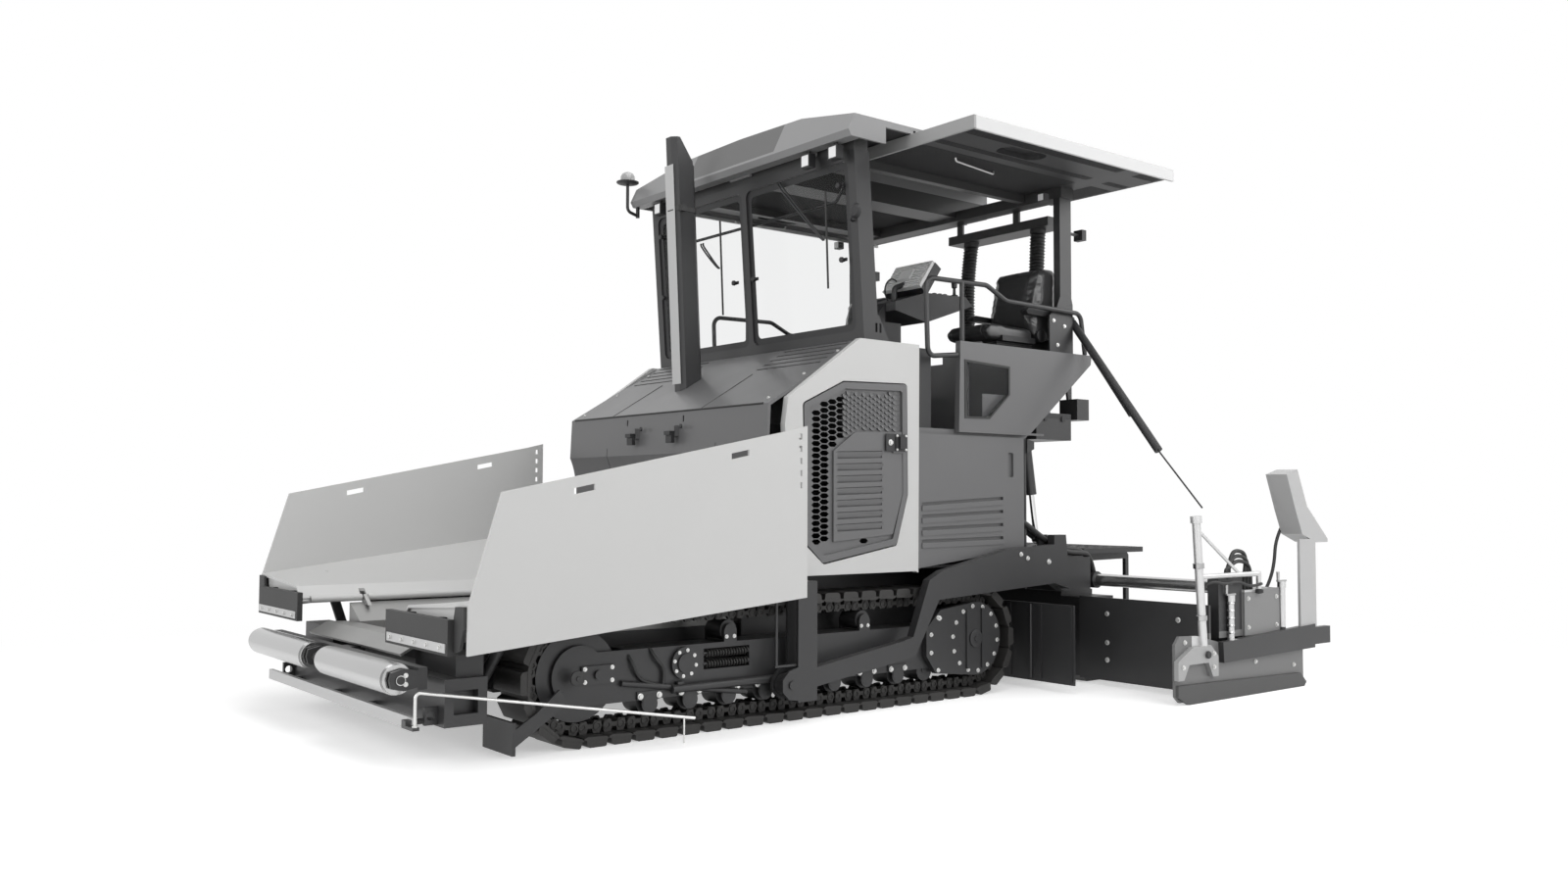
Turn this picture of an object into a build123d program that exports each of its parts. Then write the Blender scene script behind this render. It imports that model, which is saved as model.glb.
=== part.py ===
"""Tracked asphalt paver with an open, canopied operator's platform and an extending screed.

Millimetres. +X is the direction of travel, +Y the machine's left, +Z up. The origin is on the
ground under the middle of the machine's box.
"""
import math
import os

from build123d import *

os.makedirs("parts", exist_ok=True)

# ---------------------------------------------------------------- driving dimensions
front_reach = 3370          # face of the push rollers
rear_reach = 3370           # edge of the rear step

# tracks
track_centres = 3060        # sprocket axle to idler axle
sprocket_x = -762
track_radius = 378          # to the pads' faces
track_middle = 1060         # the track's middle plane from the machine's
shoe_width = 320
pad_height = 40
shoe_plate = 20
chain_depth = 70
chain_width = 150
link_hollow = 30            # depth of the links' hollows
shoe_count = 54
idler_x = sprocket_x + track_centres
chain_radius = track_radius - pad_height - shoe_plate    # outside of the links
wheel_radius = chain_radius - chain_depth - 0.3          # treads of sprocket and idler
wheel_width = chain_width
tooth_count = 13            # sprocket teeth
roller_radius = 70
roller_pitch = 273.5
roller_count = 9
first_roller_x = -336
carrier_radius = 60
carrier_places = [223, 1288]

# track frames
frame_plate = 20
frame_inner = track_middle - wheel_width / 2 - 25
frame_outer = track_middle + wheel_width / 2 + 25
frame_bottom = 215
frame_top = 500
frame_rear = -500
fork_radius = 165
arm_plate = 1228            # the deflector's arm, just outside the shoes

# hull
hull_half = 860
wall = 20
hull_rear = -1290
hull_front = 985
hull_bottom = 284
rail_inner = 620
rail_outer = 800
rail_bottom = 300
rail_top = 560
tunnel_top = 704
deck_bottom = 884
deck_top = 900
deck_half = 1195
beam_rear = 2850            # cross beam under the hopper's front
beam_front = 3080
beam_bottom = 190
beam_top = 430
beam_half = 1200

# body
side_in = 1200              # inner face of all side panels
side_out = 1245
panel_out = 1225
cowl_top = 2365
cowl_front = 295
cowl_rear = -190
hood_edge_x = 1045
hood_edge_z = 1920
hood_nose_x = 1058
hood_nose_z = 1640
hood_hem_x = 1010
hood_hem_z = 1460
skin = 20
floor_bottom = 1780
floor_top = 1820
seat_deck = 2420
seat_deck_front = -1150
platform_rear = -2000

# canopy
roof_half = 1300
roof_front = 490
roof_rear = -2150
roof_side_z = 3790
roof_shoulder_y = 700
roof_shoulder_z = 3903
roof_crown = 3920
roof_skin = 20
roof_hem = 3640
fascia_rear = -82
slide_bottom = 3680         # the sliding wings' underside
slide_top = 3735
slide_width = 1130
slide_rear = -2160
slide_front = -50
slide_out = 1870            # outer edge of an extended wing
slide_travel = 570

# tow arms and screed
tow_x = 969
tow_z = 236
tow_pin = 25
arm_inner = 1255
arm_outer = 1315
column_rear = 775
column_front = 923
screed_half = 1235
screed_front = -1880
screed_rear = -2250
screed_top = 620
screed_reach = 2360         # outermost face of the extensions
gate_outer = screed_reach - 40
gate_inner = gate_outer - 20
extension_front = -2280
extension_rear = -2860
extension_top = 450

# augers
auger_x = -1580
auger_z = 370
auger_radius = 200
auger_shaft = 45
auger_inner = 95
auger_outer = 1190
flight_pitch = 330
flight_turns = 3
flight_plate = 16

run = 0.05                  # running clearance of a pin in its bore
seat_gap = 0.3              # between a piece and its seat
eye_radius = 22             # lashing eyes

# screed's lift cylinders
lift_y = 1150
lift_top = Vector(-1358, lift_y, 1735)
lift_low = Vector(-1470, lift_y, 1060)
lift_pin = 18

# hopper cylinders
cylinder_x = 2775
base_y, base_z = 950, 350
lug_y, lug_z = 1380, 762


# ---------------------------------------------------------------- ways of making a form
def box(x1, x2, y1, y2, z1, z2, mode=Mode.ADD):
    """A block between three pairs of limits."""
    with Locations(((x1 + x2) / 2, (y1 + y2) / 2, (z1 + z2) / 2)):
        Box(abs(x2 - x1), abs(y2 - y1), abs(z2 - z1), mode=mode)


def side_plate(points, y1, y2, corner=0, mode=Mode.ADD):
    """An outline seen from the side, (x, z), carried from y1 to y2."""
    with BuildSketch(Plane.XZ.offset(-y1)) as outline:
        with BuildLine():
            Polyline(*points, close=True)
        make_face()
        if corner:
            fillet(outline.vertices(), corner)
    extrude(outline.sketch, amount=y1 - y2, mode=mode)


def cross_plate(points, x1, x2, corner=0, mode=Mode.ADD):
    """An outline seen along the machine, (y, z), carried from x1 to x2."""
    with BuildSketch(Plane.YZ.offset(x1)) as outline:
        with BuildLine():
            Polyline(*points, close=True)
        make_face()
        if corner:
            fillet(outline.vertices(), corner)
    extrude(outline.sketch, amount=x2 - x1, mode=mode)


def rod(start, end, radius, mode=Mode.ADD):
    """A round bar between two points."""
    start, end = Vector(*start), Vector(*end)
    with Locations(Plane(origin=start, z_dir=end - start).location):
        Cylinder(radius, (end - start).length, align=(Align.CENTER, Align.CENTER, Align.MIN), mode=mode)


def tube_path(points, radii, radius):
    """A bent round bar along straight runs and arcs."""
    with BuildLine() as path:
        FilletPolyline(*points, radius=radii)
    with BuildSketch(Plane(origin=path.line @ 0, z_dir=path.line % 0)) as section:
        Circle(radius)
    sweep(section.sketch, path=path.line)


def other_side(part):
    """The same piece for the right-hand side."""
    with BuildPart() as piece:
        mirror(part, about=Plane.XZ)
    return piece.part


def save(part, name):
    part.label = name
    export_step(part, f"parts/{name}.step")


# ---------------------------------------------------------------- tracks
track_x = (sprocket_x + idler_x) / 2
lap = 2 * track_centres + 2 * math.pi * (track_radius - pad_height)


def on_lap(distance, radius):
    """Place and direction at a distance along the loop, for a line at a radius from the wheels."""
    arc = math.pi * (track_radius - pad_height)
    if distance < track_centres:
        return (sprocket_x + distance, track_radius - radius), 0
    distance -= track_centres
    if distance < arc:
        turn = distance / arc * 180
        angle = math.radians(turn - 90)
        return (idler_x + radius * math.cos(angle), track_radius + radius * math.sin(angle)), turn
    distance -= arc
    if distance < track_centres:
        return (idler_x - distance, track_radius + radius), 180
    distance -= track_centres
    turn = distance / arc * 180
    angle = math.radians(turn + 90)
    return (sprocket_x + radius * math.cos(angle), track_radius + radius * math.sin(angle)), 180 + turn


def on_wheel(distance):
    """Whether a place on the lap lies round the sprocket or the idler."""
    return distance % (lap / 2) > track_centres


pad_length = lap / shoe_count - 26
pad_chord = math.sqrt(track_radius**2 - (pad_length / 2)**2)     # flat pads, their corners at the radius
with BuildPart() as tracks:
    with BuildSketch(Plane.XZ.offset(-(track_middle - shoe_width / 2))) as shoes:
        with Locations((track_x, track_radius)):
            SlotCenterToCenter(track_centres, 2 * (track_radius - pad_height))
            SlotCenterToCenter(track_centres, 2 * chain_radius, mode=Mode.SUBTRACT)
        for shoe in range(shoe_count):
            distance = (shoe + 0.5) * lap / shoe_count
            top = pad_chord if on_wheel(distance) else track_radius
            place, turn = on_lap(distance, top - pad_height / 2 - 2)
            with Locations(Location(place, turn)):
                Rectangle(pad_length, pad_height + 4)
    extrude(amount=-shoe_width)
    with BuildSketch(Plane.XZ.offset(-(track_middle - chain_width / 2))):
        with Locations((track_x, track_radius)):
            SlotCenterToCenter(track_centres, 2 * chain_radius + 2)
            SlotCenterToCenter(track_centres, 2 * (chain_radius - chain_depth), mode=Mode.SUBTRACT)
        # hollow between the two bosses of each link that no wheel fills
        for link in range(shoe_count):
            distance = (link + 0.5) * lap / shoe_count
            if not on_wheel(distance):
                place, turn = on_lap(distance, chain_radius - chain_depth)
                with Locations(Location(place, turn)):
                    Polygon((-22, -1), (22, -1), (0, link_hollow), align=None, mode=Mode.SUBTRACT)
    extrude(amount=-chain_width)
    mirror(about=Plane.XZ)
save(tracks.part, "tracks")

with BuildPart() as track_frames:
    # both plates of the beam with the idler's fork
    for y in (frame_inner, frame_outer - frame_plate):
        box(frame_rear, idler_x, y, y + frame_plate, frame_bottom, frame_top)
        rod((idler_x, y, track_radius), (idler_x, y + frame_plate, track_radius), fork_radius)
        for x in carrier_places:
            box(x - 45, x + 45, y, y + frame_plate, frame_top - 5, frame_top + 60)
            rod((x, y, frame_top + 60), (x, y + frame_plate, frame_top + 60), 45)
    box(frame_rear, idler_x - 300, frame_inner, frame_outer, frame_top - frame_plate, frame_top)
    # stub axles to the hull
    for x, y in ((300, hull_half), (1900, rail_outer)):
        rod((x, y, track_radius), (x, frame_inner, track_radius), 70)
    box(frame_rear, frame_rear + frame_plate, frame_inner, frame_outer, frame_bottom, frame_top)
    # tensioner's boss, its cover and the adjuster's slide at the idler
    rod((1620, frame_outer - 1, 400), (1620, frame_outer + 22, 400), 92)
    rod((1620, frame_outer - 1, 400), (1620, frame_outer + 34, 400), 55)
    box(2080, 2290, frame_outer - 1, frame_outer + 16, 330, 430)
    rod((2190, frame_outer, 380), (2190, frame_outer + 34, 380), 26)
    # tube that guards the rollers
    rod((800, frame_outer + 30, 262), (1720, frame_outer + 30, 262), 24)
    for x in (860, 1660):
        box(x - 20, x + 20, frame_outer - 1, frame_outer + 34, 262, 300)
    # windows of the beam's outer plate, over the adjuster's springs
    side_plate([(1150, 350), (1150, 470), (1480, 470), (1480, 350)], frame_outer - frame_plate - 1,
               frame_outer + 1, mode=Mode.SUBTRACT)
    for z in (380, 440):
        rod((1149, frame_outer - 10, z), (1481, frame_outer - 10, z), 13)
    # deflector plate ahead of the track and its arm
    box(2710, 2730, 900, arm_plate + 15, 15, 185)
    side_plate([(2400, 260), (2460, 330), (2600, 215), (2710, 150), (2710, 60), (2600, 130)],
               arm_plate, arm_plate + 15)
    rod((2430, frame_outer, 285), (2430, arm_plate, 285), 22)
    mirror(about=Plane.XZ)
save(track_frames.part, "track_frames")

with BuildPart() as track_wheels:
    low, high = track_middle - wheel_width / 2, track_middle + wheel_width / 2
    rod((idler_x, low, track_radius), (idler_x, high, track_radius), wheel_radius)
    rod((idler_x, frame_inner + frame_plate, track_radius),
        (idler_x, frame_outer - frame_plate, track_radius), 60)
    with BuildSketch(Plane.XZ.offset(-low)) as toothed:
        with Locations((sprocket_x, track_radius)):
            Circle(wheel_radius)
            with PolarLocations(wheel_radius + 10, tooth_count):
                Circle(34, mode=Mode.SUBTRACT)
    extrude(toothed.sketch, amount=-wheel_width)
    for n in range(roller_count):
        x = first_roller_x + n * roller_pitch
        z = track_radius - chain_radius + chain_depth + roller_radius
        rod((x, low, z), (x, high, z), roller_radius - 0.3)
        rod((x, frame_inner + frame_plate, z), (x, frame_outer - frame_plate, z), 25)
        if n:
            # end cap on the frame's outer plate
            rod((x, frame_outer, z), (x, frame_outer + 12, z), 45)
    for x in carrier_places:
        z = track_radius + chain_radius - chain_depth - carrier_radius
        rod((x, low, z), (x, high, z), carrier_radius - 0.3)
        rod((x, frame_inner + frame_plate, z), (x, frame_outer - frame_plate, z), 20)
    mirror(about=Plane.XZ)
save(track_wheels.part, "track_wheels")

cover_radius = 249
cover_z = 390
with BuildPart() as final_drives:
    rod((sprocket_x, hull_half, track_radius), (sprocket_x, track_middle - wheel_width / 2, track_radius), 170)
    rod((sprocket_x, track_middle + wheel_width / 2, cover_z), (sprocket_x, 1205, cover_z), cover_radius)
    side_plate([(sprocket_x, cover_z - cover_radius), (-380, 180), (-290, 300), (-290, 480),
                (-420, 600), (sprocket_x, cover_z + cover_radius)], frame_outer + 5, 1205)
    mirror(about=Plane.XZ)
save(final_drives.part, "final_drives")

# ---------------------------------------------------------------- hull
inner_half = hull_half - wall
shield_rear = hull_rear - wall - 30
shield_plate = 20
bearing_y = auger_outer + 5

with BuildPart() as chassis:
    box(hull_rear, hull_front, -inner_half, inner_half, hull_bottom, rail_bottom)
    for side in (-1, 1):
        # lashing eye behind the floor plate
        box(hull_rear - 80, hull_rear, side * 290, side * 360, hull_bottom - 8, rail_bottom)
        rod((hull_rear - 42, side * 325, hull_bottom - 9), (hull_rear - 42, side * 325, rail_bottom + 1),
            eye_radius, mode=Mode.SUBTRACT)
save(chassis.part, "chassis")

with BuildPart() as hull_rails:
    for side in (-1, 1):
        box(hull_rear, beam_rear, side * rail_inner, side * rail_outer, rail_bottom, rail_top)
save(hull_rails.part, "hull_rails")

with BuildPart() as hull_sides:
    for side in (-1, 1):
        box(hull_rear, hull_front, side * inner_half, side * hull_half, hull_bottom, deck_bottom)
save(hull_sides.part, "hull_sides")

with BuildPart() as deck:
    box(hull_rear, hull_front - 60, -inner_half, inner_half, tunnel_top, tunnel_top + 16)
    box(hull_rear, hull_front - 80, -deck_half, deck_half, deck_bottom, deck_top)
save(deck.part, "deck")

with BuildPart() as rear_wall:
    box(hull_rear - wall, hull_rear, -deck_half, deck_half, tunnel_top, floor_bottom)
    for side in (-1, 1):
        box(hull_rear - wall, hull_rear, side * rail_inner, side * hull_half, hull_bottom, tunnel_top)
save(rear_wall.part, "rear_wall")

# ears with the pins of the lift cylinders
with BuildPart() as lift_ears:
    for side in (-1, 1):
        for y in (lift_y - 56, lift_y + 42):
            side_plate([(hull_rear - wall, lift_top.Z - 60), (hull_rear - wall, lift_top.Z + 40),
                        (lift_top.X - 28, lift_top.Z + 28), (lift_top.X - 28, lift_top.Z - 28)],
                       side * y, side * (y + 14))
        rod((lift_top.X, side * (lift_y - 56), lift_top.Z), (lift_top.X, side * (lift_y + 56), lift_top.Z),
            lift_pin)
save(lift_ears.part, "lift_ears")

# chain case in the middle of the augers
with BuildPart() as auger_case:
    side_plate([(hull_rear - wall, 290), (hull_rear - wall, 760), (auger_x - 20, 760), (auger_x - 90, 660),
                (auger_x - 90, 300), (auger_x - 50, 260), (auger_x + 60, 260)], -80, 80)
    rod((auger_x, -90, auger_z), (auger_x, 90, auger_z), auger_shaft - 15, mode=Mode.SUBTRACT)
save(auger_case.part, "auger_case")

# shields that keep the mix in front of the screed, with the outer bearing of each auger
with BuildPart() as mix_shields:
    for side in (-1, 1):
        box(shield_rear, shield_rear + shield_plate, side * 880, side * 1600, 60, 610)
        box(shield_rear, hull_rear - wall, side * 640, side * 880, 320, 610)
        box(auger_x - 60, shield_rear, side * bearing_y, side * (bearing_y + 30), 300, 440)
        rod((auger_x, side * bearing_y, auger_z), (auger_x, side * (bearing_y + 30), auger_z), 60)
        rod((auger_x, side * (bearing_y - 1), auger_z), (auger_x, side * (bearing_y + 31), auger_z),
            auger_shaft - 15, mode=Mode.SUBTRACT)
        # ribs on the front and hinge of the folding outer half
        for y in (1010, 1290, 1560):
            box(shield_rear + shield_plate, shield_rear + shield_plate + 8, side * y, side * (y + 30), 80, 600)
        rod((shield_rear + shield_plate + 6, side * 1225, 80), (shield_rear + shield_plate + 6, side * 1225, 600), 9)
save(mix_shields.part, "mix_shields")

# ---------------------------------------------------------------- front beam and push rollers
roller_face = 80            # radius of a push roller
push_x = front_reach - roller_face
push_z = 440
push_inner = 110
push_outer = 1120
push_pivot_x = 3125
push_bar_rear = 3150
push_bar_front = 3198

with BuildPart() as front_beam:
    box(beam_rear, beam_front, -beam_half, beam_half, beam_bottom, beam_top)
    for side in (-1, 1):
        box(beam_rear + 50, beam_rear + 180, side * (beam_half - 60), side * beam_half, 250, 370,
            mode=Mode.SUBTRACT)
        box(beam_rear, beam_rear + 150, side * 640, side * 1150, beam_top, beam_top + 110)
        # brackets of the lower rail
        for y in (250, 950):
            box(beam_front - 40, 3200, side * y, side * (y + 60), beam_bottom, beam_bottom + 20)
        # lashing eye and pin of the hopper cylinder
        box(beam_front, 3150, side * 1100, side * 1125, 200, 290)
        rod((3118, side * 1099, 245), (3118, side * 1126, 245), eye_radius, mode=Mode.SUBTRACT)
        rod((beam_rear - seat_gap, side * base_y, base_z), (cylinder_x - 35, side * base_y, base_z), 14)
    rod((push_pivot_x, 0, 400), (push_pivot_x, 0, 480), 50)
    box(beam_front - 1, push_pivot_x, -60, 60, 400, beam_top)
    box(beam_front - 20, push_pivot_x, -60, 60, 400, 480)
    rod((push_pivot_x, 0, 390), (push_pivot_x, 0, 490), 25 + run, mode=Mode.SUBTRACT)
    box(3200, 3225, -1150, 1150, 190, 250)
    # bracket of the steering guide rod
    box(3225, 3260, 1100, 1150, 200, 240)
    box(3225, 3260, 1100, 1240, 200, 216)
save(front_beam.part, "front_beam")

with BuildPart() as push_beam:
    box(push_bar_rear, push_bar_front, -1150, 1150, 385, 495)
    box(push_pivot_x - 38, push_bar_rear, -60, 60, 485, 495)
    box(push_pivot_x - 38, push_bar_rear, -60, 60, 385, 395)
    rod((push_pivot_x, 0, 395), (push_pivot_x, 0, 485), 56, mode=Mode.SUBTRACT)
    rod((push_pivot_x, 0, 385), (push_pivot_x, 0, 495), 25)
    for y in (-1150, -95, 75, 1130):
        side_plate([(push_bar_front - 5, 400), (push_x - 20, 385), (push_x + 45, 400), (push_x + 55, push_z),
                    (push_x + 45, 480), (push_x - 20, 495), (push_bar_front - 5, 480)], y, y + 20)
        rod((push_x, y - 1, push_z), (push_x, y + 21, push_z), 25 + run, mode=Mode.SUBTRACT)
save(push_beam.part, "push_beam")

with BuildPart() as push_roller_left:
    rod((push_x, push_inner + 30, push_z), (push_x, push_outer - 30, push_z), roller_face)
    rod((push_x, push_inner, push_z), (push_x, push_outer, push_z), roller_face - 6)
    rod((push_x, 76, push_z), (push_x, push_outer + 40, push_z), 25)
save(push_roller_left.part, "push_roller_left")
save(other_side(push_roller_left.part), "push_roller_right")

guide_x = 3242
guide_y = 1225
with BuildPart() as guide_rod:
    tube_path([(guide_x, guide_y, 222), (guide_x, guide_y, 385), (guide_x - 1430, guide_y + 330, 160)],
              [25], 8)
    rod((guide_x, guide_y, 216.2), (guide_x, guide_y, 224), 14)
    rod((guide_x - 1370, guide_y + 316, 30), (guide_x - 1370, guide_y + 316, 172), 5)
save(guide_rod.part, "guide_rod")

# ---------------------------------------------------------------- hopper
trough_z = 500
hinge_pin = 12
hinge_places = [1150, 1950, 2750]
wing_hinge_y = 800
wing_hinge_z = 705
wing_rear = 1075
wing_front = 3150
wing_wall = 1610            # outer face of the side wall
wing_sheet = 14
bend_front_z = 832
bend_rear_z = 1095
hem_front_z = 590
hem_rear_z = 775
rim_fall = 0.2035           # slope of the wings' top edge

with BuildPart() as hopper_floor:
    box(980, beam_rear, -610, 610, trough_z - 16, trough_z)
    for side in (-1, 1):
        cross_plate([(side * 598, trough_z), (side * 612, trough_z), (side * 612, rail_top + 6),
                     (side * 785, 660), (side * 785, 676), (side * 598, rail_top + 12)],
                    hull_front + 5, beam_rear)
        cross_plate([(side * 625, rail_top), (side * 785, rail_top), (side * 785, 668), (side * 625, 578)],
                    hull_front + 5, beam_rear)
    cross_plate([(-60, trough_z), (60, trough_z), (20, 640), (-20, 640)], 1000, beam_rear - 60)
    # polished lip over the front beam
    side_plate([(beam_rear, 545), (beam_rear, 565), (3010, 575), (3120, 515), (3112, 503), (3005, 562)],
               -720, 720)
    box(beam_rear, beam_rear + 20, -720, 720, beam_top + 112, 560)
    for side in (-1, 1):
        rod((wing_rear, side * wing_hinge_y, wing_hinge_z),
            (wing_front - 70, side * wing_hinge_y, wing_hinge_z), hinge_pin)
        for x in hinge_places:
            if x < beam_rear:
                cross_plate([(side * y, z) for y, z in ((700, 660), (785, 660), (825, 690), (825, 720),
                                                        (785, 725))], x - 12, x + 12)
save(hopper_floor.part, "hopper_floor")

with BuildPart() as hopper_rear_wall:
    for low, high, half in ((tunnel_top, deck_top, hull_half), (deck_top, hood_hem_z - 10, deck_half)):
        box(hull_front, hull_front + wall, -half, half, low, high)
save(hopper_rear_wall.part, "hopper_rear_wall")

slat_pitch = 150
with BuildPart() as conveyors:
    for y in (-330, 330):
        box(hull_rear - 40, 2800, y - 225, y + 225, trough_z + 0.3, trough_z + 13)
        for n in range(28):
            x = -1290 + n * slat_pitch
            if x < 2790:
                box(x, x + 30, y - 225, y + 225, trough_z + 12, trough_z + 38)
save(conveyors.part, "conveyors")




def wing_section(x, bend_z, hem_z, top_z):
    """The wing's section across the machine: floor, fold, side wall and rim."""
    return [(wing_hinge_y - 10, wing_hinge_z - 8), (wing_hinge_y + 90, 785), (wing_wall - wing_sheet, bend_z),
            (wing_wall - wing_sheet, top_z), (wing_wall, top_z), (wing_wall, hem_z),
            (wing_wall - wing_sheet, hem_z), (wing_wall - wing_sheet, bend_z - wing_sheet),
            (wing_hinge_y + 94, 785 - wing_sheet), (wing_hinge_y, wing_hinge_z - 20)]


with BuildPart() as hopper_wing_left:
    sections = []
    for x, bend_z, hem_z in ((wing_rear, bend_rear_z, hem_rear_z), (wing_front, bend_front_z, hem_front_z)):
        with BuildSketch(Plane.YZ.offset(x)) as section:
            with BuildLine():
                Polyline(*wing_section(x, bend_z, hem_z, 1770), close=True)
            make_face()
        sections.append(section.sketch)
    loft(sections, ruled=True)
    # outline of the side wall, cut from the sheet
    side_plate([(wing_rear - 10, 1762), (wing_rear + 130, 1728), (2984, 1366), (3146, 832), (3200, 800),
                (3200, 1900), (wing_rear - 10, 1900)], 700, 1700, mode=Mode.SUBTRACT)
    # hand holes near the top edge: x of the middle
    for x in (1556, 2532):
        top = 1728 - (x - wing_rear - 130) * rim_fall
        side_plate([(x - 60, top - 45), (x + 60, top - 45 - 120 * rim_fall), (x + 60, top - 78 - 120 * rim_fall),
                    (x - 60, top - 78)], wing_wall - 40, wing_wall + 1, mode=Mode.SUBTRACT)
    # slots for the canvas sheet near the rear edge
    for z in range(1400, 1700, 70):
        side_plate([(wing_rear + 40, z), (wing_rear + 62, z), (wing_rear + 62, z + 34), (wing_rear + 40, z + 34)],
                   wing_wall - 40, wing_wall + 1, mode=Mode.SUBTRACT)
    # ribs under the floor, outside the track
    for x in (1330, 1900, 2450):
        bend = bend_front_z + (bend_rear_z - bend_front_z) * (wing_front - x) / (wing_front - wing_rear)
        hem = hem_front_z + (hem_rear_z - hem_front_z) * (wing_front - x) / (wing_front - wing_rear)
        under = 785 - wing_sheet + (bend - 785) * (1290 - wing_hinge_y - 94) / (wing_wall - wing_hinge_y - 108)
        cross_plate([(1290, under + 2), (wing_wall - wing_sheet + 1, bend - wing_sheet), (wing_wall - 1, hem + 25),
                     (wing_wall - 80, hem + 25)], x, x + 10)
    rod((wing_rear, wing_hinge_y, wing_hinge_z), (wing_front - 60, wing_hinge_y, wing_hinge_z), 22)
    rod((wing_rear - 1, wing_hinge_y, wing_hinge_z), (wing_front, wing_hinge_y, wing_hinge_z),
        hinge_pin + 0.3, mode=Mode.SUBTRACT)
    for x in hinge_places:
        box(x - 20, x + 20, wing_hinge_y - 40, wing_hinge_y + 60, 640, 760, mode=Mode.SUBTRACT)
    # front edge plate
    cross_plate([(wing_wall - wing_sheet, 830), (wing_hinge_y + 90, 780), (wing_hinge_y + 90, 740),
                 (wing_wall - wing_sheet, 700)], wing_front - 30, wing_front - 16)
    for x in (cylinder_x - 34, cylinder_x + 24):
        box(x, x + 10, lug_y - 40, lug_y + 40, lug_z - 25, 848)
save(hopper_wing_left.part, "hopper_wing_left")
save(other_side(hopper_wing_left.part), "hopper_wing_right")

with BuildPart() as wing_flap_left:
    box(3166, 3198, 712, 1490, 582, 755)
    box(3197, 3203, 740, 1470, 596, 640)
    # stay from the wing's front edge to the flap
    cross_plate([(1480, 600), (1480, 740), (1502, 817), (1596, 822), (1596, 718), (1555, 619), (1508, 600)],
                wing_front, 3167)
    cross_plate([(1518, 645), (1518, 806), (1578, 806), (1578, 722), (1546, 645)], wing_front - 1, 3166,
                mode=Mode.SUBTRACT)
    for y in (920, 1300):
        box(wing_front - 16, 3167, y, y + 40, 725, 755)
save(wing_flap_left.part, "wing_flap_left")
save(other_side(wing_flap_left.part), "wing_flap_right")

# ---------------------------------------------------------------- engine and hood
with BuildPart() as engine:
    box(-60, 760, -430, 430, deck_top, 1850)
save(engine.part, "engine")

with BuildPart() as hood:
    with BuildSketch(Plane.XZ.offset(side_in)) as shell:
        with BuildLine() as line:
            outer = Polyline((hood_nose_x, hood_nose_z), (hood_edge_x, hood_edge_z), (cowl_front, cowl_top),
                             (cowl_rear, cowl_top), (cowl_rear, deck_top), (cowl_rear + skin, deck_top),
                             (cowl_rear + skin, cowl_top - skin), (cowl_front - 8, cowl_top - skin),
                             (hood_edge_x - skin, hood_edge_z - 12), (hood_nose_x - skin, hood_nose_z))
            RadiusArc((hood_nose_x - skin, hood_nose_z), (hood_hem_x - skin, hood_hem_z), -500)
            Line((hood_hem_x - skin, hood_hem_z), (hood_hem_x, hood_hem_z))
            RadiusArc((hood_hem_x, hood_hem_z), (hood_nose_x, hood_nose_z), 520)
        make_face()
    extrude(shell.sketch, amount=-2 * side_in)
    # air slots of the cowl, in front of the windscreen
    slope = math.degrees(math.atan2(cowl_top - hood_edge_z, hood_edge_x - cowl_front))
    for n in range(5):
        x = cowl_front + 30 + n * 58
        z = cowl_top - (x - cowl_front) * math.tan(math.radians(slope))
        for side in (-1, 1):
            with Locations(Location((x, side * 777, z), (0, slope, 0))):
                Box(18, 665, 120, mode=Mode.SUBTRACT)
    # lifting holes and the lower cover's seam on the nose
    for y in (-405, 293):
        with Locations((hood_nose_x, y, 1868)):
            Box(120, 16, 42, mode=Mode.SUBTRACT)
    for y in (-668, 668):
        box(hood_hem_x + 12, hood_nose_x + 40, y - 3, y + 3, hood_hem_z - 1, 1697, mode=Mode.SUBTRACT)
    for y in (-275, 213):
        box(hood_nose_x - 15, hood_nose_x + 32, y - 34, y + 34, 1752, 1822)
save(hood.part, "hood")

door_pin_x = 828
door_pin_y = side_out + 14
with BuildPart() as side_frames:
    side_plate([(905, 870), (950, 1795), (925, 1960), (337, 2367), (-188, 2364), (-176, deck_top - 40),
                (-150, 870)], side_in, side_out)
    side_plate([(640, 935), (790, 1060), (812, 1930), (480, 2085), (-75, 2100), (-82, 1370), (20, 1040)],
               side_in - 1, side_out + 1, corner=30, mode=Mode.SUBTRACT)
    for z in (1227.7, 1310.3, 1627.7, 1710.3):
        box(818, 865, side_out - 1, door_pin_y + 9, z, z + 22)
    mirror(about=Plane.XZ)
save(side_frames.part, "side_frames")

door_rim = [(648, 945), (782, 1066), (804, 1925), (478, 2077), (-67, 2092), (-74, 1372), (26, 1048)]
door_hole = [(640, 990), (745, 1085), (765, 1900), (465, 2036), (-28, 2048), (-34, 1378), (56, 1084)]
louvre_box = [(560, 1075), (560, 1640), (380, 1765), (-28, 1780), (-34, 1378), (56, 1115)]
mesh_face = side_out - 16
cell_across, cell_up = 66, 38       # pitch of the honeycomb
cell_wall = 6


def in_outline(point, outline):
    """True for a point inside an outline."""
    inside = False
    for (x1, z1), (x2, z2) in zip(outline, outline[1:] + outline[:1]):
        if (z1 > point[1]) != (z2 > point[1]) and point[0] < (x2 - x1) * (point[1] - z1) / (z2 - z1) + x1:
            inside = not inside
    return inside


def cell(x, z):
    """Corners of one honeycomb cell, longer than it is high."""
    half, flat, up = cell_across * 2 / 3 - cell_wall, cell_across / 3 - 2, cell_up / 2 - cell_wall / 2
    return [(x - half, z), (x - flat, z + up), (x + flat, z + up), (x + half, z), (x + flat, z - up), (x - flat, z - up)]


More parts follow.
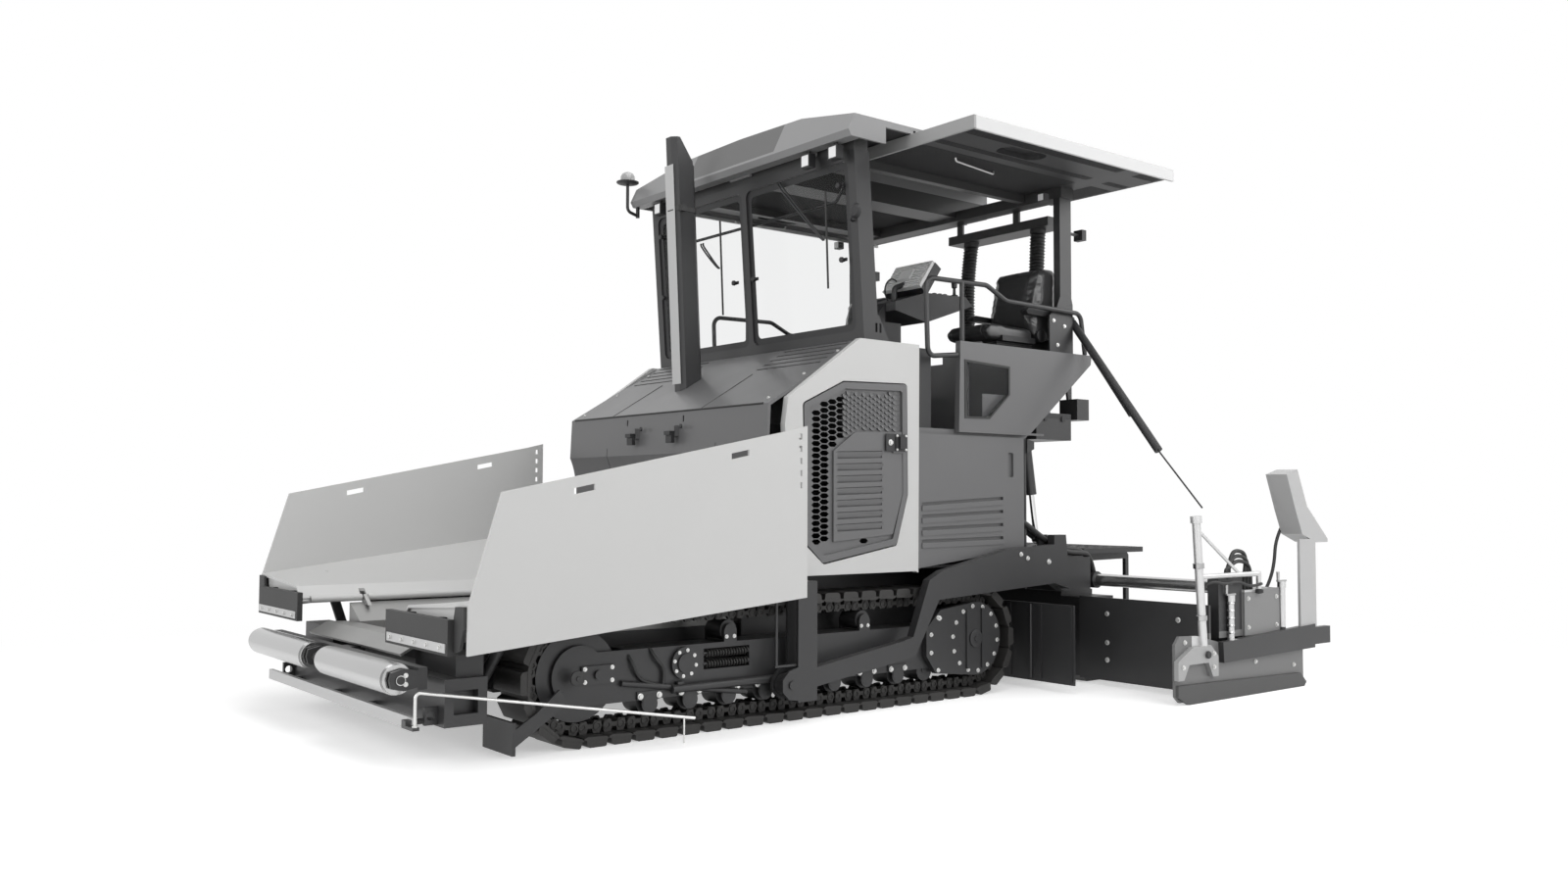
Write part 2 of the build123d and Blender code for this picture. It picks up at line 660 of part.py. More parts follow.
with BuildPart() as engine_door_left:
    side_plate(door_rim, side_out - 25, side_out + 4, corner=25)
    side_plate(door_hole, side_out - 30, side_out + 10, corner=20, mode=Mode.SUBTRACT)
    side_plate(door_hole, mesh_face - 6, mesh_face)
    # honeycomb in front of and below the louvred cover
    with BuildSketch(Plane.XZ.offset(-(mesh_face - 7))) as cells:
        for column in range(-1, 13):
            for row in range(26):
                x, z = 30 + column * cell_across, 1075 + (row + column % 2 / 2) * cell_up
                corners = cell(x, z)
                clear = all(in_outline(p, door_hole) and not in_outline(p, louvre_box) for p in corners)
                if clear and (x > 480 or z < 1180):
                    with BuildLine():
                        Polyline(*corners, close=True)
                    make_face()
    extrude(cells.sketch, amount=-8, mode=Mode.SUBTRACT)
    # louvred cover: windows with a slanted blade in each
    side_plate(louvre_box, mesh_face - 1, side_out)
    for n in range(7):
        z = 1150 + n * 76
        side_plate([(150, z), (530, z - 14), (530, z + 32), (150, z + 46)], mesh_face, side_out + 1,
                   mode=Mode.SUBTRACT)
        with Locations(Location((340, side_out - 7, z + 12), (-24, 2.1, 0))):
            Box(396, 5, 50)
    # latch plate
    box(-40, 60, side_out + 3, side_out + 12, 1640, 1760)
    for z in (1250, 1650):
        box(door_pin_x - 40, door_pin_x, side_out + 4, side_out + 22, z, z + 60)
        rod((door_pin_x, door_pin_y, z), (door_pin_x, door_pin_y, z + 60), 9)
save(engine_door_left.part, "engine_door_left")
save(other_side(engine_door_left.part), "engine_door_right")

with BuildPart() as rear_panels:
    side_plate([(-200, floor_bottom), (-1250, floor_bottom), (-1250, 1000), (-1143, 985), (-190, 885)],
               side_in, panel_out)
    for n in range(4):
        z = 1052 + n * 82
        side_plate([(-228, z), (-1028, z + 12 + n * 10), (-1028, z + 34 + n * 10), (-228, z + 22)], side_in + 6,
                   panel_out + 1, mode=Mode.SUBTRACT)
        side_plate([(-228, z - 34), (-1028, z - 22 + n * 10), (-1028, z + 12 + n * 10), (-228, z)], panel_out - 1,
                   panel_out + 7)
    side_plate([(-1078, 1500), (-1138, 1500), (-1138, 1672), (-1078, 1672)], side_in + 6, panel_out + 1, corner=12,
               mode=Mode.SUBTRACT)
    mirror(about=Plane.XZ)
save(rear_panels.part, "rear_panels")

with BuildPart() as exhaust:
    foot, head = (650, -230), (745, -230)
    with BuildSketch(Plane((foot[0], foot[1], 2060))) as low:
        Rectangle(190, 130)
        chamfer(low.vertices(), 34)
    with BuildSketch(Plane((head[0], head[1], 3900))) as high:
        Rectangle(190, 130)
        chamfer(high.vertices(), 34)
    loft([low.sketch, high.sketch], ruled=True)
    side_plate([(600, 3720), (660, 3720), (790, 3910), (600, 3910)], -400, 0, mode=Mode.SUBTRACT)
    side_plate([(cowl_front, cowl_top + 1), (hood_edge_x, hood_edge_z + 1), (cowl_front, hood_edge_z)],
               -400, 0, mode=Mode.SUBTRACT)
save(exhaust.part, "exhaust")

# ---------------------------------------------------------------- operator's platform
with BuildPart() as platform:
    box(-1300, cowl_rear - 1, -deck_half, deck_half, floor_bottom, floor_top)
    box(platform_rear + 50, -1300, -520, 520, floor_bottom, floor_top)
    for side in (-1, 1):
        side_plate([(seat_deck_front, floor_top), (seat_deck_front, seat_deck), (platform_rear, seat_deck),
                    (platform_rear, seat_deck - 70), (-1300, floor_bottom)], side * 520, side * deck_half)
        box(seat_deck_front, seat_deck_front + 300, side * 560, side * deck_half, floor_top, 2080)
    box(platform_rear + 50, -1550, -520, 520, floor_top, seat_deck)
    for side in (-1, 1):
        side_plate([(-566, 1800), (-581, seat_deck + 5), (platform_rear - 1, seat_deck + 5), (-1990, 2355),
                    (-1284, 1800)], side * side_in, side * side_out)
        side_plate([(-620, 1895), (-620, 2300), (-1080, 2280), (-1080, 2080), (-870, 1900)],
                   side * (side_in - 1), side * (side_out + 1), mode=Mode.SUBTRACT)
        box(-1500, -600, side * deck_half, side * side_in, floor_bottom + 25, floor_top)
        box(platform_rear + 20, seat_deck_front, side * deck_half, side * side_in, seat_deck - 50, seat_deck)
save(platform.part, "platform")

with BuildPart() as handrails:
    rail_y = (side_in + side_out) / 2
    rail_high = seat_deck + 420
    tube_path([(-572, rail_y, seat_deck - 90), (-290, rail_y, seat_deck - 120), (-270, rail_y, rail_high - 10),
               (-870, rail_y, rail_high), (-1070, rail_y, rail_high - 90), (-1900, rail_y, rail_high - 105),
               (-1950, rail_y, seat_deck + 8)], [60, 70, 120, 120, 70], 17)
    rod((-620, rail_y, seat_deck + 5), (-620, rail_y, rail_high - 2), 17)
    mirror(about=Plane.XZ)
save(handrails.part, "handrails")

with BuildPart() as console:
    side_plate([(-260, 2640), (-260, 2700), (-560, 2790), (-960, 2800), (-1030, 2740), (-560, 2580)], 540, 940)
    with Locations(Location((-620, 740, 2900), (0, -35, 0))):
        Box(70, 380, 240)
    box(cowl_rear - 180, cowl_rear, 600, 880, 2380, 2560)
    side_plate([(cowl_rear + 10, cowl_top), (cowl_rear + 10, 2600), (-260, 2700), (-260, 2640),
                (cowl_rear - 60, cowl_top)], 640, 840)
    # cabinets on the bulkhead
    box(cowl_rear - 201, cowl_rear - 1, 560, 1150, floor_top, 2360)
    box(cowl_rear - 201, cowl_rear - 1, -1150, -560, floor_top, 2360)
save(console.part, "console")

seat_y = 860
with BuildPart() as seat_frames:
    for side in (-1, 1):
        box(-1560, -1200, side * seat_y - 160, side * seat_y + 160, seat_deck, seat_deck + 75)
        box(-1858, -1835.3, side * seat_y - 120, side * seat_y + 120, seat_deck, seat_deck + 300)
save(seat_frames.part, "seat_frames")

with BuildPart() as seat_pads:
    for side in (-1, 1):
        side_plate([(-930, 2500), (-930, 2600), (-1560, 2610), (-1560, 2495.3), (-1200, 2495.3)], side * seat_y - 232,
                   side * seat_y + 232)
        side_plate([(-1570, 2500), (-1620, 2620), (-1700, 3100), (-1810, 3100), (-1835, 2900), (-1835, 2500)],
                   side * seat_y - 232, side * seat_y + 232)
save(seat_pads.part, "seat_pads")


def screen_x(z):
    """The windscreen's plane, leaning forwards."""
    return 262 + 0.0735 * (z - 2407)


screen_low = cowl_top + 1
screen_high = 3600
screen_plate = 40
post_depth = 130
window_width = 1100
window_height = 1105
window_corner = 55
window_z = (screen_low + screen_high) / 2 + 2
pane_gap = 0.3


def screen_plane(back):
    """The windscreen's own plane, a distance behind its face."""
    lean = math.atan2(screen_x(screen_high) - screen_x(screen_low), screen_high - screen_low)
    normal = Vector(math.cos(lean), 0, -math.sin(lean))
    return Plane(Vector(screen_x(window_z), 0, window_z) - normal * back, x_dir=(0, 1, 0), z_dir=normal)


with BuildPart() as screen_frame:
    low, high = (screen_x(screen_low), screen_low), (screen_x(screen_high), screen_high)
    side_plate([low, high, (high[0] - screen_plate, high[1]), (low[0] - screen_plate, low[1])], -1151, 1151)
    with BuildSketch(screen_plane(-20)) as windows:
        with Locations((-window_width / 2 - 25, 0), (window_width / 2 + 25, 0)):
            RectangleRounded(window_width, window_height, window_corner)
    extrude(windows.sketch, amount=-80, mode=Mode.SUBTRACT)
    for side in (-1, 1):
        side_plate([low, high, (high[0] - post_depth, high[1]), (low[0] - post_depth, low[1])],
                   side * 1150, side * 1195)
        # gusset at the post's foot
        side_plate([(screen_x(2540) - 2, 2540), (211, 2556), (125, 2537), (28, screen_low), (200, screen_low)],
                   side * 1170, side * 1190)
    for x in (112, 152):
        side_plate([(x - 9, 2425), (x + 9, 2425), (x + 9, 2485), (x - 9, 2485)], -1210, 1210, mode=Mode.SUBTRACT)
save(screen_frame.part, "screen_frame")

with BuildPart() as glazing:
    with BuildSketch(screen_plane(14)) as panes:
        with Locations((-window_width / 2 - 25, 0), (window_width / 2 + 25, 0)):
            RectangleRounded(window_width - 2 * pane_gap, window_height - 2 * pane_gap, window_corner - pane_gap)
    extrude(panes.sketch, amount=-6)
    for side in (-1, 1):
        side_plate([(-622, 1897), (-622, 2298), (-1078, 2278), (-1078, 2081), (-871, 1902)],
                   side * (side_out - 8), side * (side_out - 2))
save(glazing.part, "glazing")

with BuildPart() as rear_posts:
    for side in (-1, 1):
        box(-1850, -1720, side * 1120, side * 1180, seat_deck, 3600)
        side_plate([(-1846, seat_deck), (-1846, 2800), (-1830, 2850), (-1700, 2850), (-1660, 2760),
                    (-1580, 2700), (-1580, seat_deck)], side * 1181, side * 1195)
        box(-1846, -1720, side * 1180, side * 1181, seat_deck + 5, 2800)
        # lamp arm behind the post
        rod((-1850, side * 1150, 3350), (-1970, side * 1150, 3350), 12)
save(rear_posts.part, "rear_posts")

# ---------------------------------------------------------------- canopy
rail_head = slide_bottom - 0.3
with BuildPart() as roof:
    crown = [(-roof_half, roof_side_z), (-roof_shoulder_y, roof_shoulder_z), (0, roof_crown),
             (roof_shoulder_y, roof_shoulder_z), (roof_half, roof_side_z)]
    lining = [(y, z - roof_skin) for y, z in reversed(crown)]
    cross_plate(crown + lining, roof_rear, roof_front)
    # fascia round the front
    cross_plate(crown + [(roof_half, roof_hem), (-roof_half, roof_hem)], fascia_rear, roof_front)
    box(fascia_rear - 1, roof_front - 110, -roof_half + 20, roof_half - 20, roof_hem - 1,
        slide_top + 11, mode=Mode.SUBTRACT)
    # front leaning back to the crown, and the sides cut up behind the front corner
    side_plate([(roof_front - 25, roof_hem - 1), (roof_front, roof_hem + 40), (roof_front - 120, roof_crown + 5),
                (roof_front + 10, roof_crown + 5), (roof_front + 10, roof_hem - 1)], -1400, 1400,
               mode=Mode.SUBTRACT)
    for side in (-1, 1):
        box(fascia_rear - 1, 166, side * (roof_half - 21), side * (roof_half + 1), roof_hem - 1, slide_top + 11,
            mode=Mode.SUBTRACT)
        # flanges that stiffen the roof's sheet
        box(roof_rear, fascia_rear - 20, side * (roof_half - 12), side * roof_half, slide_top + 12, roof_side_z - 5)
    # spine and rails that carry the roof and guide the sliding wings
    box(roof_rear + 60, 380, -120, 120, 3665, roof_crown - 30)
    for side in (-1, 1):
        box(-1860, 379, side * 780, side * 840, 3620, slide_bottom - 31)
        box(-1860, slide_front - 26, side * 780, side * 840, slide_bottom - 32, rail_head)
    box(-1860, -1720, -1195, 1195, screen_high, rail_head)
    box(230, 350, -1195, 1195, screen_high, rail_head)
    box(-1860, 380, -120, 120, 3630, 3670)
    # air unit under the roof's rear
    box(-2080, -1862, -100, 950, 3450, 3520)
    for y in (0, 600):
        box(-1880, -1860, y, y + 60, 3519, 3665)
save(roof.part, "roof")

with BuildPart() as canopy_wing_left:
    box(slide_rear, slide_front, slide_out - slide_width, slide_out, slide_bottom, slide_top)
    box(slide_rear, slide_front, slide_out - 20, slide_out, slide_bottom - 25, slide_top + 5)
    # front edge strip, clear of the rails' heads
    box(slide_front - 20, slide_front, slide_out - slide_width, slide_out, slide_bottom - 25, slide_top + 5)
    with BuildSketch(Plane.XY.offset(slide_bottom - 1)) as opening:
        with Locations((-805, slide_out - 270)):
            SlotOverall(420, 170)
    extrude(opening.sketch, amount=40, mode=Mode.SUBTRACT)
save(canopy_wing_left.part, "canopy_wing_left")
with BuildPart() as canopy_wing_right:
    with Locations((0, slide_travel, 0)):
        add(mirror(canopy_wing_left.part, about=Plane.XZ, mode=Mode.PRIVATE))
save(canopy_wing_right.part, "canopy_wing_right")

duct_x = -1925
with BuildPart() as air_ducts:
    for y in (100, 800):
        rod((duct_x, y, seat_deck), (duct_x, y, 3450), 62)
save(air_ducts.part, "air_ducts")

with BuildPart() as lamps:
    for y in (-960, 830, 1107):
        box(405, 455, y - 45, y + 45, 3530, 3620)
        box(420, 432, y - 15, y + 15, 3619, roof_hem)
    rod((440, -1270, 3640), (440, -1270, 3560), 15)
    for side in (-1, 1):
        box(-2020, -1970, side * 1110, side * 1190, 3310, 3390)
save(lamps.part, "lamps")

with BuildPart() as rear_fittings:
    box(-1960, -1560, 700, 1080, 1790, 1990)
    for y in (700, 1068):
        side_plate([(-1960, 1980), (-1560, 1790), (-1560, 1991.4), (-1700, 2105.4), (-1720, 1990)], y, y + 12)
    box(-2150, -2010, 930, 1100, 1950, 2110)
    side_plate([(-2040, 2105), (-2000, 2105), (-1960, 2317.1), (-2000, 2349.7), (-2040, 2349.7)], 1005, 1025)
save(rear_fittings.part, "rear_fittings")

# ---------------------------------------------------------------- tow columns and hopper cylinders
with BuildPart() as tow_columns:
    for y in (arm_inner - 30, arm_outer + 10):
        box(column_rear, column_front, y, y + wall, 130, 845)
        side_plate([(column_front - 10, 140), (tow_x + 20, 150), (tow_x + 70, 200), (tow_x + 70, 270),
                    (tow_x + 20, 320), (column_front - 10, 340)], y, y + wall)
    box(column_rear, column_front, hull_half, arm_outer + 10, 785, 845)
    box(column_rear, column_front, arm_inner - 30, arm_outer + 30, 130, 150)
    rod((tow_x, arm_inner - 30, tow_z), (tow_x, arm_outer + 40, tow_z), tow_pin)
    # scale rod of the tow point
    rod((1070, 1320, 350), (1070, 1320, 740), 9)
    box(column_front, 1085, 1310, 1330, 345, 357)
    mirror(about=Plane.XZ)
save(tow_columns.part, "tow_columns")

ram_angle = math.atan2(lug_z - base_z, lug_y - base_y)
ram_length = math.hypot(lug_z - base_z, lug_y - base_y)
along_ram = Vector(0, math.cos(ram_angle), math.sin(ram_angle))
ram_base = Vector(cylinder_x, base_y, base_z)
with BuildPart() as wing_barrel_left:
    rod(ram_base, ram_base + along_ram * (ram_length - 90), 32)
    rod(ram_base - Vector(22, 0, 0), ram_base + Vector(22, 0, 0), 34)
    rod(ram_base + along_ram * 60, ram_base + along_ram * (ram_length - 80), 18.3, mode=Mode.SUBTRACT)
    rod(ram_base - Vector(40, 0, 0), ram_base + Vector(40, 0, 0), 14 + run, mode=Mode.SUBTRACT)
save(wing_barrel_left.part, "wing_barrel_left")
save(other_side(wing_barrel_left.part), "wing_barrel_right")

ram_eye = ram_base + along_ram * ram_length
with BuildPart() as wing_rod_left:
    rod(ram_base + along_ram * 120, ram_eye, 18)
    rod(ram_eye - Vector(23.7, 0, 0), ram_eye + Vector(23.7, 0, 0), 28)
save(wing_rod_left.part, "wing_rod_left")
save(other_side(wing_rod_left.part), "wing_rod_right")

# ---------------------------------------------------------------- tow arms and screed
arm_outline = [(tow_x, tow_z - 62), (800, 200), (-80, 325), (-300, 680), (-1470, 745), (-1640, 700),
               (-1640, 760), (-1600, 1090), (-1470, 1090), (-1470, 1022), (-1000, 1000), (-330, 868),
               (-210, 812), (-62, 452), (35, 430), (800, 316), (tow_x, tow_z + 62)]
with BuildPart() as tow_arms:
    side_plate(arm_outline, arm_inner, arm_outer)
    rod((tow_x, arm_inner, tow_z), (tow_x, arm_outer, tow_z), 62)
    rod((tow_x, arm_inner - 5, tow_z), (tow_x, arm_outer + 5, tow_z), tow_pin + run, mode=Mode.SUBTRACT)
    # bracket inboard to the screed's frame and ear of the lift cylinder
    side_plate([(-1480, 760), (-1470, 860), (-1640, 930), (-1870, 930), (-1870, 680), (-1640, 680)],
               1190, arm_inner)
    side_plate([(-1430, 1000), (-1430, 1090), (-1520, 1090), (-1600, 900), (-1500, 860)], 1190, 1210)
    box(-1600, -1470, 1190, arm_inner, 900, 1000)
    rod((lift_low.X, lift_y + 16.3, lift_low.Z), (lift_low.X, 1195, lift_low.Z), 16)
    mirror(about=Plane.XZ)
save(tow_arms.part, "tow_arms")

frame_half = 1040           # upper frame and walkway of the screed
walkway = 930
guide_x2, guide_z = -2070, 745
with BuildPart() as main_screed:
    side_plate([(screed_front, 45), (screed_front - 50, 0), (screed_rear, 0), (screed_rear, screed_top),
                (screed_front, screed_top)], -screed_half, screed_half)
    # upper frame over the extensions and the tow arms' seats
    side_plate([(-1870, 660), (-1870, 930), (-2230, 930), (-2230, 640), (-1900, 640)], -frame_half, frame_half)
    box(screed_rear, screed_front, -frame_half, frame_half, screed_top - 1, 660)
    for side in (-1, 1):
        box(-1960, -1870, side * (frame_half - 5), side * 1250, 690, 920)
        rod((guide_x2, side * 300, guide_z), (guide_x2, side * 1230, guide_z), 62)
        rod((guide_x2, side * 20, guide_z), (guide_x2, side * 1231, guide_z), 45.3, mode=Mode.SUBTRACT)
        # carriers of the rear step
        side_plate([(-2200, 860), (-2200, walkway), (-2900, walkway), (-2930, 900), (-2930, 300), (-2890, 300),
                    (-2890, 870)], side * 850, side * 880)
save(main_screed.part, "main_screed")

with BuildPart() as screed_walkway:
    box(-2900, -2150, -frame_half, frame_half, walkway, walkway + 40)
    box(-rear_reach, -2930, -1000, 1000, 300, 335)
    with Locations((-2525, 0, walkway + 20)):
        with GridLocations(118, 172, 6, 12):
            Box(88, 142, 41, mode=Mode.SUBTRACT)
    with Locations(((-rear_reach - 2930) / 2, 0, 318)):
        with GridLocations(130, 160, 3, 12):
            Box(100, 130, 36, mode=Mode.SUBTRACT)
save(screed_walkway.part, "screed_walkway")

post_y = screed_reach - 30
with BuildPart() as screed_extension_left:
    low, high = screed_half + 25, gate_inner
    side_plate([(extension_front, 45), (extension_front - 50, 0), (extension_rear, 0),
                (extension_rear, extension_top - 60), (extension_front, extension_top)], low, high)
    # mouldboard sliding along the main screed's front
    box(-1862, -1842, screed_half + 5, gate_outer, 40, 635)
    # end gate, its runner and the beam that carries it
    side_plate([(-1450, 58), (-1450, 395), (-1500, 448), (-1700, 440), (-1946, 385), (-1960, 350), (-3031, 350),
                (-3031, 16), (-1500, 16)], gate_inner, gate_outer)
    side_plate([(-1450, 58), (-1450, 133), (-2952, 100), (-3031, 30), (-3000, 0), (-1570, 0)], gate_outer - 1,
               gate_outer + 25)
    side_plate([(-1955, 247), (-1946, 385), (-3139, 442), (-3134, 271)], gate_outer - 1, screed_reach)
    box(-3130, -3348, post_y - 15, screed_reach, 293, 416)
    # cover box and guide tube
    box(-2275, -2725, gate_outer - 270, gate_outer, 405, 720)
    box(-2280, -1990, gate_inner - 85, gate_inner, 405, 810)
    rod((guide_x2, 1000, guide_z), (guide_x2, gate_inner - 40, guide_z), 45)
    # height spindles of the gate
    for x, foot, head in ((-2100, 376, 680), (-2755, 400, 750)):
        rod((x, gate_outer, foot), (x, gate_outer, head), 24)
        rod((x, gate_outer, head - 30), (x, gate_outer, head + 12), 30)
    # mast of the levelling sensor on its casting, with boom and brace
    side_plate([(-1437, 166), (-1437, 290), (-1600, 372), (-1810, 376), (-1894, 300), (-1894, 166), (-1830, 166),
                (-1780, 262), (-1560, 262), (-1500, 166)], gate_outer - 1, screed_reach - 5)
    rod((-1760, post_y, 340), (-1690, post_y, 1214), 28)
    rod((-1692, post_y, 1190), (-1688, post_y, 1235), 38)
    rod((-1735, post_y, 830), (-2440, post_y, 830), 18)
    rod((-2440, post_y, 720), (-2440, post_y, 845), 18)
    rod((-1700, post_y, 1150), (-2200, post_y, 835), 11)
    # control stand
    box(-2965, -3185, post_y - 5, screed_reach - 15, 400, 1062)
    side_plate([(-2802, 1532), (-2950, 1570), (-3077, 1300), (-3360, 1060), (-3360, 1035), (-3194, 1035),
                (-3004, 1098), (-2914, 1277)], post_y - 150, screed_reach - 15)
save(screed_extension_left.part, "screed_extension_left")
save(other_side(screed_extension_left.part), "screed_extension_right")

lift_way = (lift_low - lift_top).normalized()
with BuildPart() as lift_barrels:
    rod(lift_top, lift_top + lift_way * 360, 38)
    rod(lift_top - Vector(0, 20, 0), lift_top + Vector(0, 20, 0), 42)
    rod(lift_top + lift_way * 45, lift_top + lift_way * 380, 20.3, mode=Mode.SUBTRACT)
    rod(lift_top - Vector(0, 45, 0), lift_top + Vector(0, 45, 0), lift_pin + run, mode=Mode.SUBTRACT)
    mirror(about=Plane.XZ)
save(lift_barrels.part, "lift_barrels")
with BuildPart() as lift_rods:
    rod(lift_top + lift_way * 322, lift_low - lift_way * 20, 20)
    rod(lift_low - Vector(0, 16, 0), lift_low + Vector(0, 16, 0), 36)
    mirror(about=Plane.XZ)
save(lift_rods.part, "lift_rods")

with BuildPart() as auger_left:
    rod((auger_x, auger_inner, auger_z), (auger_x, auger_outer - 5, auger_z), auger_shaft)
    rod((auger_x, -80 + 85, auger_z), (auger_x, 1220, auger_z), auger_shaft - 15 - run)
    # flight: a strip wound round the shaft
    with BuildLine() as edge:
        Helix(flight_pitch, flight_turns * flight_pitch, (auger_shaft + auger_radius) / 2 - 2,
              center=(auger_x, auger_inner + 40, auger_z), direction=(0, 1, 0))
    start = edge.line @ 0
    out = (start - Vector(auger_x, start.Y, auger_z)).normalized()
    with BuildSketch(Plane(start, x_dir=out, z_dir=edge.line % 0)) as strip:
        Rectangle(auger_radius - auger_shaft + 4, flight_plate)
    sweep(strip.sketch, path=edge.line, is_frenet=True)
save(auger_left.part, "auger_left")
save(other_side(auger_left.part), "auger_right")

with BuildPart() as screed_stays:
    for side in (-1, 1):
        rod((-1874, side * 1150, 2700), (-1860, side * 1700, 1950), 22)
        rod((-1861, side * 1690, 1960), (-1840, side * 2280, 1290), 6)
        rod((-1850.3, side * 1150, 2700), (-1897, side * 1150, 2700), 22)
save(screed_stays.part, "screed_stays")
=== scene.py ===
"""Tracked asphalt paver: folding hopper, mesh-sided engine body, canopied platform and sliding screed.

Metres, +X the direction of travel, +Y the machine's left, +Z up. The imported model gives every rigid
piece its place, and each section below finishes one group of pieces and adds what it carries.
"""
import math

import bmesh
import bpy
from mathutils import Matrix, Vector


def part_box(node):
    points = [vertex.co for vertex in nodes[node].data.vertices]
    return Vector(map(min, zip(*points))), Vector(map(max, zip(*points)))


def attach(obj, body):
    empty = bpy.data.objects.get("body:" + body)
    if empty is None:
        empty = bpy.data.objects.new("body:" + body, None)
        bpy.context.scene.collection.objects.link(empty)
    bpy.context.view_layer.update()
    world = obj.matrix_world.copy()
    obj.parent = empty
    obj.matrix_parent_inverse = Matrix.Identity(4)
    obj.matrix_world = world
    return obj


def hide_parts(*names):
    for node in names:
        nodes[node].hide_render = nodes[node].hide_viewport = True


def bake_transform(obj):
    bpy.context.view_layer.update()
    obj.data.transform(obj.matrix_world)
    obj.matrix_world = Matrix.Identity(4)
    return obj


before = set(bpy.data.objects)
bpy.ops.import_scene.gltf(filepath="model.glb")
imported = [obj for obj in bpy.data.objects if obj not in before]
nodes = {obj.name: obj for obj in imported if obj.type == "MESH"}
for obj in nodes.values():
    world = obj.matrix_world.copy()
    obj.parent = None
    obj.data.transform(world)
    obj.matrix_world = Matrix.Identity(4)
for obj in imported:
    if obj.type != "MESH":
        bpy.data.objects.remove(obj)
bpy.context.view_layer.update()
scene = bpy.context.scene

# ---------------- camera
# The eye stands off the machine's front left corner, a little above the hopper's floor, and looks back
# along its left side.
def placed(name, data):
    """An object in the scene."""
    thing = bpy.data.objects.new(name, data)
    scene.collection.objects.link(thing)
    return thing


camera_place = Vector((5.739, 7.235, 1.330))
camera_right = Vector((-0.78145, 0.62396, 0.00344))
camera_down = Vector((-0.03191, -0.03446, -0.99890))
camera_forward = Vector((-0.62315, -0.78070, 0.04684))
camera_data = bpy.data.cameras.new("camera")
camera_data.lens = 29.136
camera_data.sensor_width = 36
camera = placed("camera", camera_data)
camera.matrix_world = Matrix([
    (camera_right[n], -camera_down[n], -camera_forward[n], camera_place[n]) for n in range(3)] + [(0, 0, 0, 1)])
scene.camera = camera

# ---------------- floor, world and lamps
# A white studio: a broad lamp over the machine, softer ones from its left, and a floor and surround that
# read as white wherever no shadow falls, to the eye and in metal and glass.
scene.view_settings.view_transform = "Standard"


def add(tree, kind, inputs=(), **settings):
    """A node in a tree: its settings, and for each input a plain value or the socket that feeds it."""
    node = tree.nodes.new(kind)
    for name, value in settings.items():
        setattr(node, name, value)
    for socket, value in dict(inputs).items():
        if isinstance(value, bpy.types.NodeSocket):
            tree.links.new(value, node.inputs[socket])
        else:
            node.inputs[socket].default_value = value
    return node


def seen_or_mirrored(tree):
    """One for rays from the eye, off gloss or through glass, none for the light on the machine."""
    path = tree.nodes.new("ShaderNodeLightPath")
    total = path.outputs["Is Camera Ray"]
    for kind in ("Is Glossy Ray", "Is Transmission Ray"):
        total = add(tree, "ShaderNodeMath", {0: total, 1: path.outputs[kind]}, operation="MAXIMUM").outputs[0]
    return total


plain_white = (1, 1, 1, 1)
world_level, floor_fill = 0.42, 0.42
world = bpy.data.worlds.new("studio")
scene.world = world
world.use_nodes = True
tree = world.node_tree
surround = tree.nodes["Background"]
surround.inputs["Color"].default_value = plain_white
surround.inputs["Strength"].default_value = world_level
white = add(tree, "ShaderNodeBackground", {"Color": plain_white, "Strength": 1.0})
choice = add(tree, "ShaderNodeMixShader", {0: seen_or_mirrored(tree), 1: surround.outputs[0], 2: white.outputs[0]})
tree.links.new(choice.outputs[0], tree.nodes["World Output"].inputs["Surface"])

floor_mesh = bpy.data.meshes.new("floor")
reach = 40
floor_mesh.from_pydata([(-reach, -reach, 0), (reach, -reach, 0), (reach, reach, 0), (-reach, reach, 0)], [],
                       [(0, 1, 2, 3)])
floor = placed("floor", floor_mesh)
floor_paint = bpy.data.materials.new("floor_paint")
floor_paint.use_nodes = True
floor_mesh.materials.append(floor_paint)
tree = floor_paint.node_tree
matt = tree.nodes["Principled BSDF"]
matt.inputs["Base Color"].default_value = (0.82, 0.82, 0.82, 1)
matt.inputs["Roughness"].default_value = 1.0
matt.inputs["Specular IOR Level"].default_value = 0.0
seen = seen_or_mirrored(tree)
level = add(tree, "ShaderNodeMath", {0: seen, 1: floor_fill}, operation="MULTIPLY").outputs[0]
fill = add(tree, "ShaderNodeEmission", {"Color": plain_white, "Strength": level})
lifted = add(tree, "ShaderNodeAddShader", {0: matt.outputs[0], 1: fill.outputs[0]})
# beyond the machine's shadow the floor turns pure white
fade_from, fade_to = 3.5, 7.5
place = tree.nodes.new("ShaderNodeTexCoord").outputs["Object"]
length = add(tree, "ShaderNodeVectorMath", {0: place}, operation="LENGTH").outputs["Value"]
away = add(tree, "ShaderNodeMapRange", {"Value": length, "From Min": fade_from, "From Max": fade_to}).outputs["Result"]
both = add(tree, "ShaderNodeMath", {0: away, 1: seen}, operation="MULTIPLY").outputs[0]
glow = add(tree, "ShaderNodeEmission", {"Color": plain_white, "Strength": 1.0})
far = add(tree, "ShaderNodeMixShader", {0: both, 1: lifted.outputs[0], 2: glow.outputs[0]})
tree.links.new(far.outputs[0], tree.nodes["Material Output"].inputs["Surface"])


def lamp(name, place, target, size, watts):
    """A square area lamp that looks at a point."""
    data = bpy.data.lights.new(name, "AREA")
    data.shape = "SQUARE"
    data.size = size
    data.energy = watts
    thing = placed(name, data)
    thing.location = place
    thing.rotation_euler = (Vector(target) - Vector(place)).to_track_quat("-Z", "Y").to_euler()


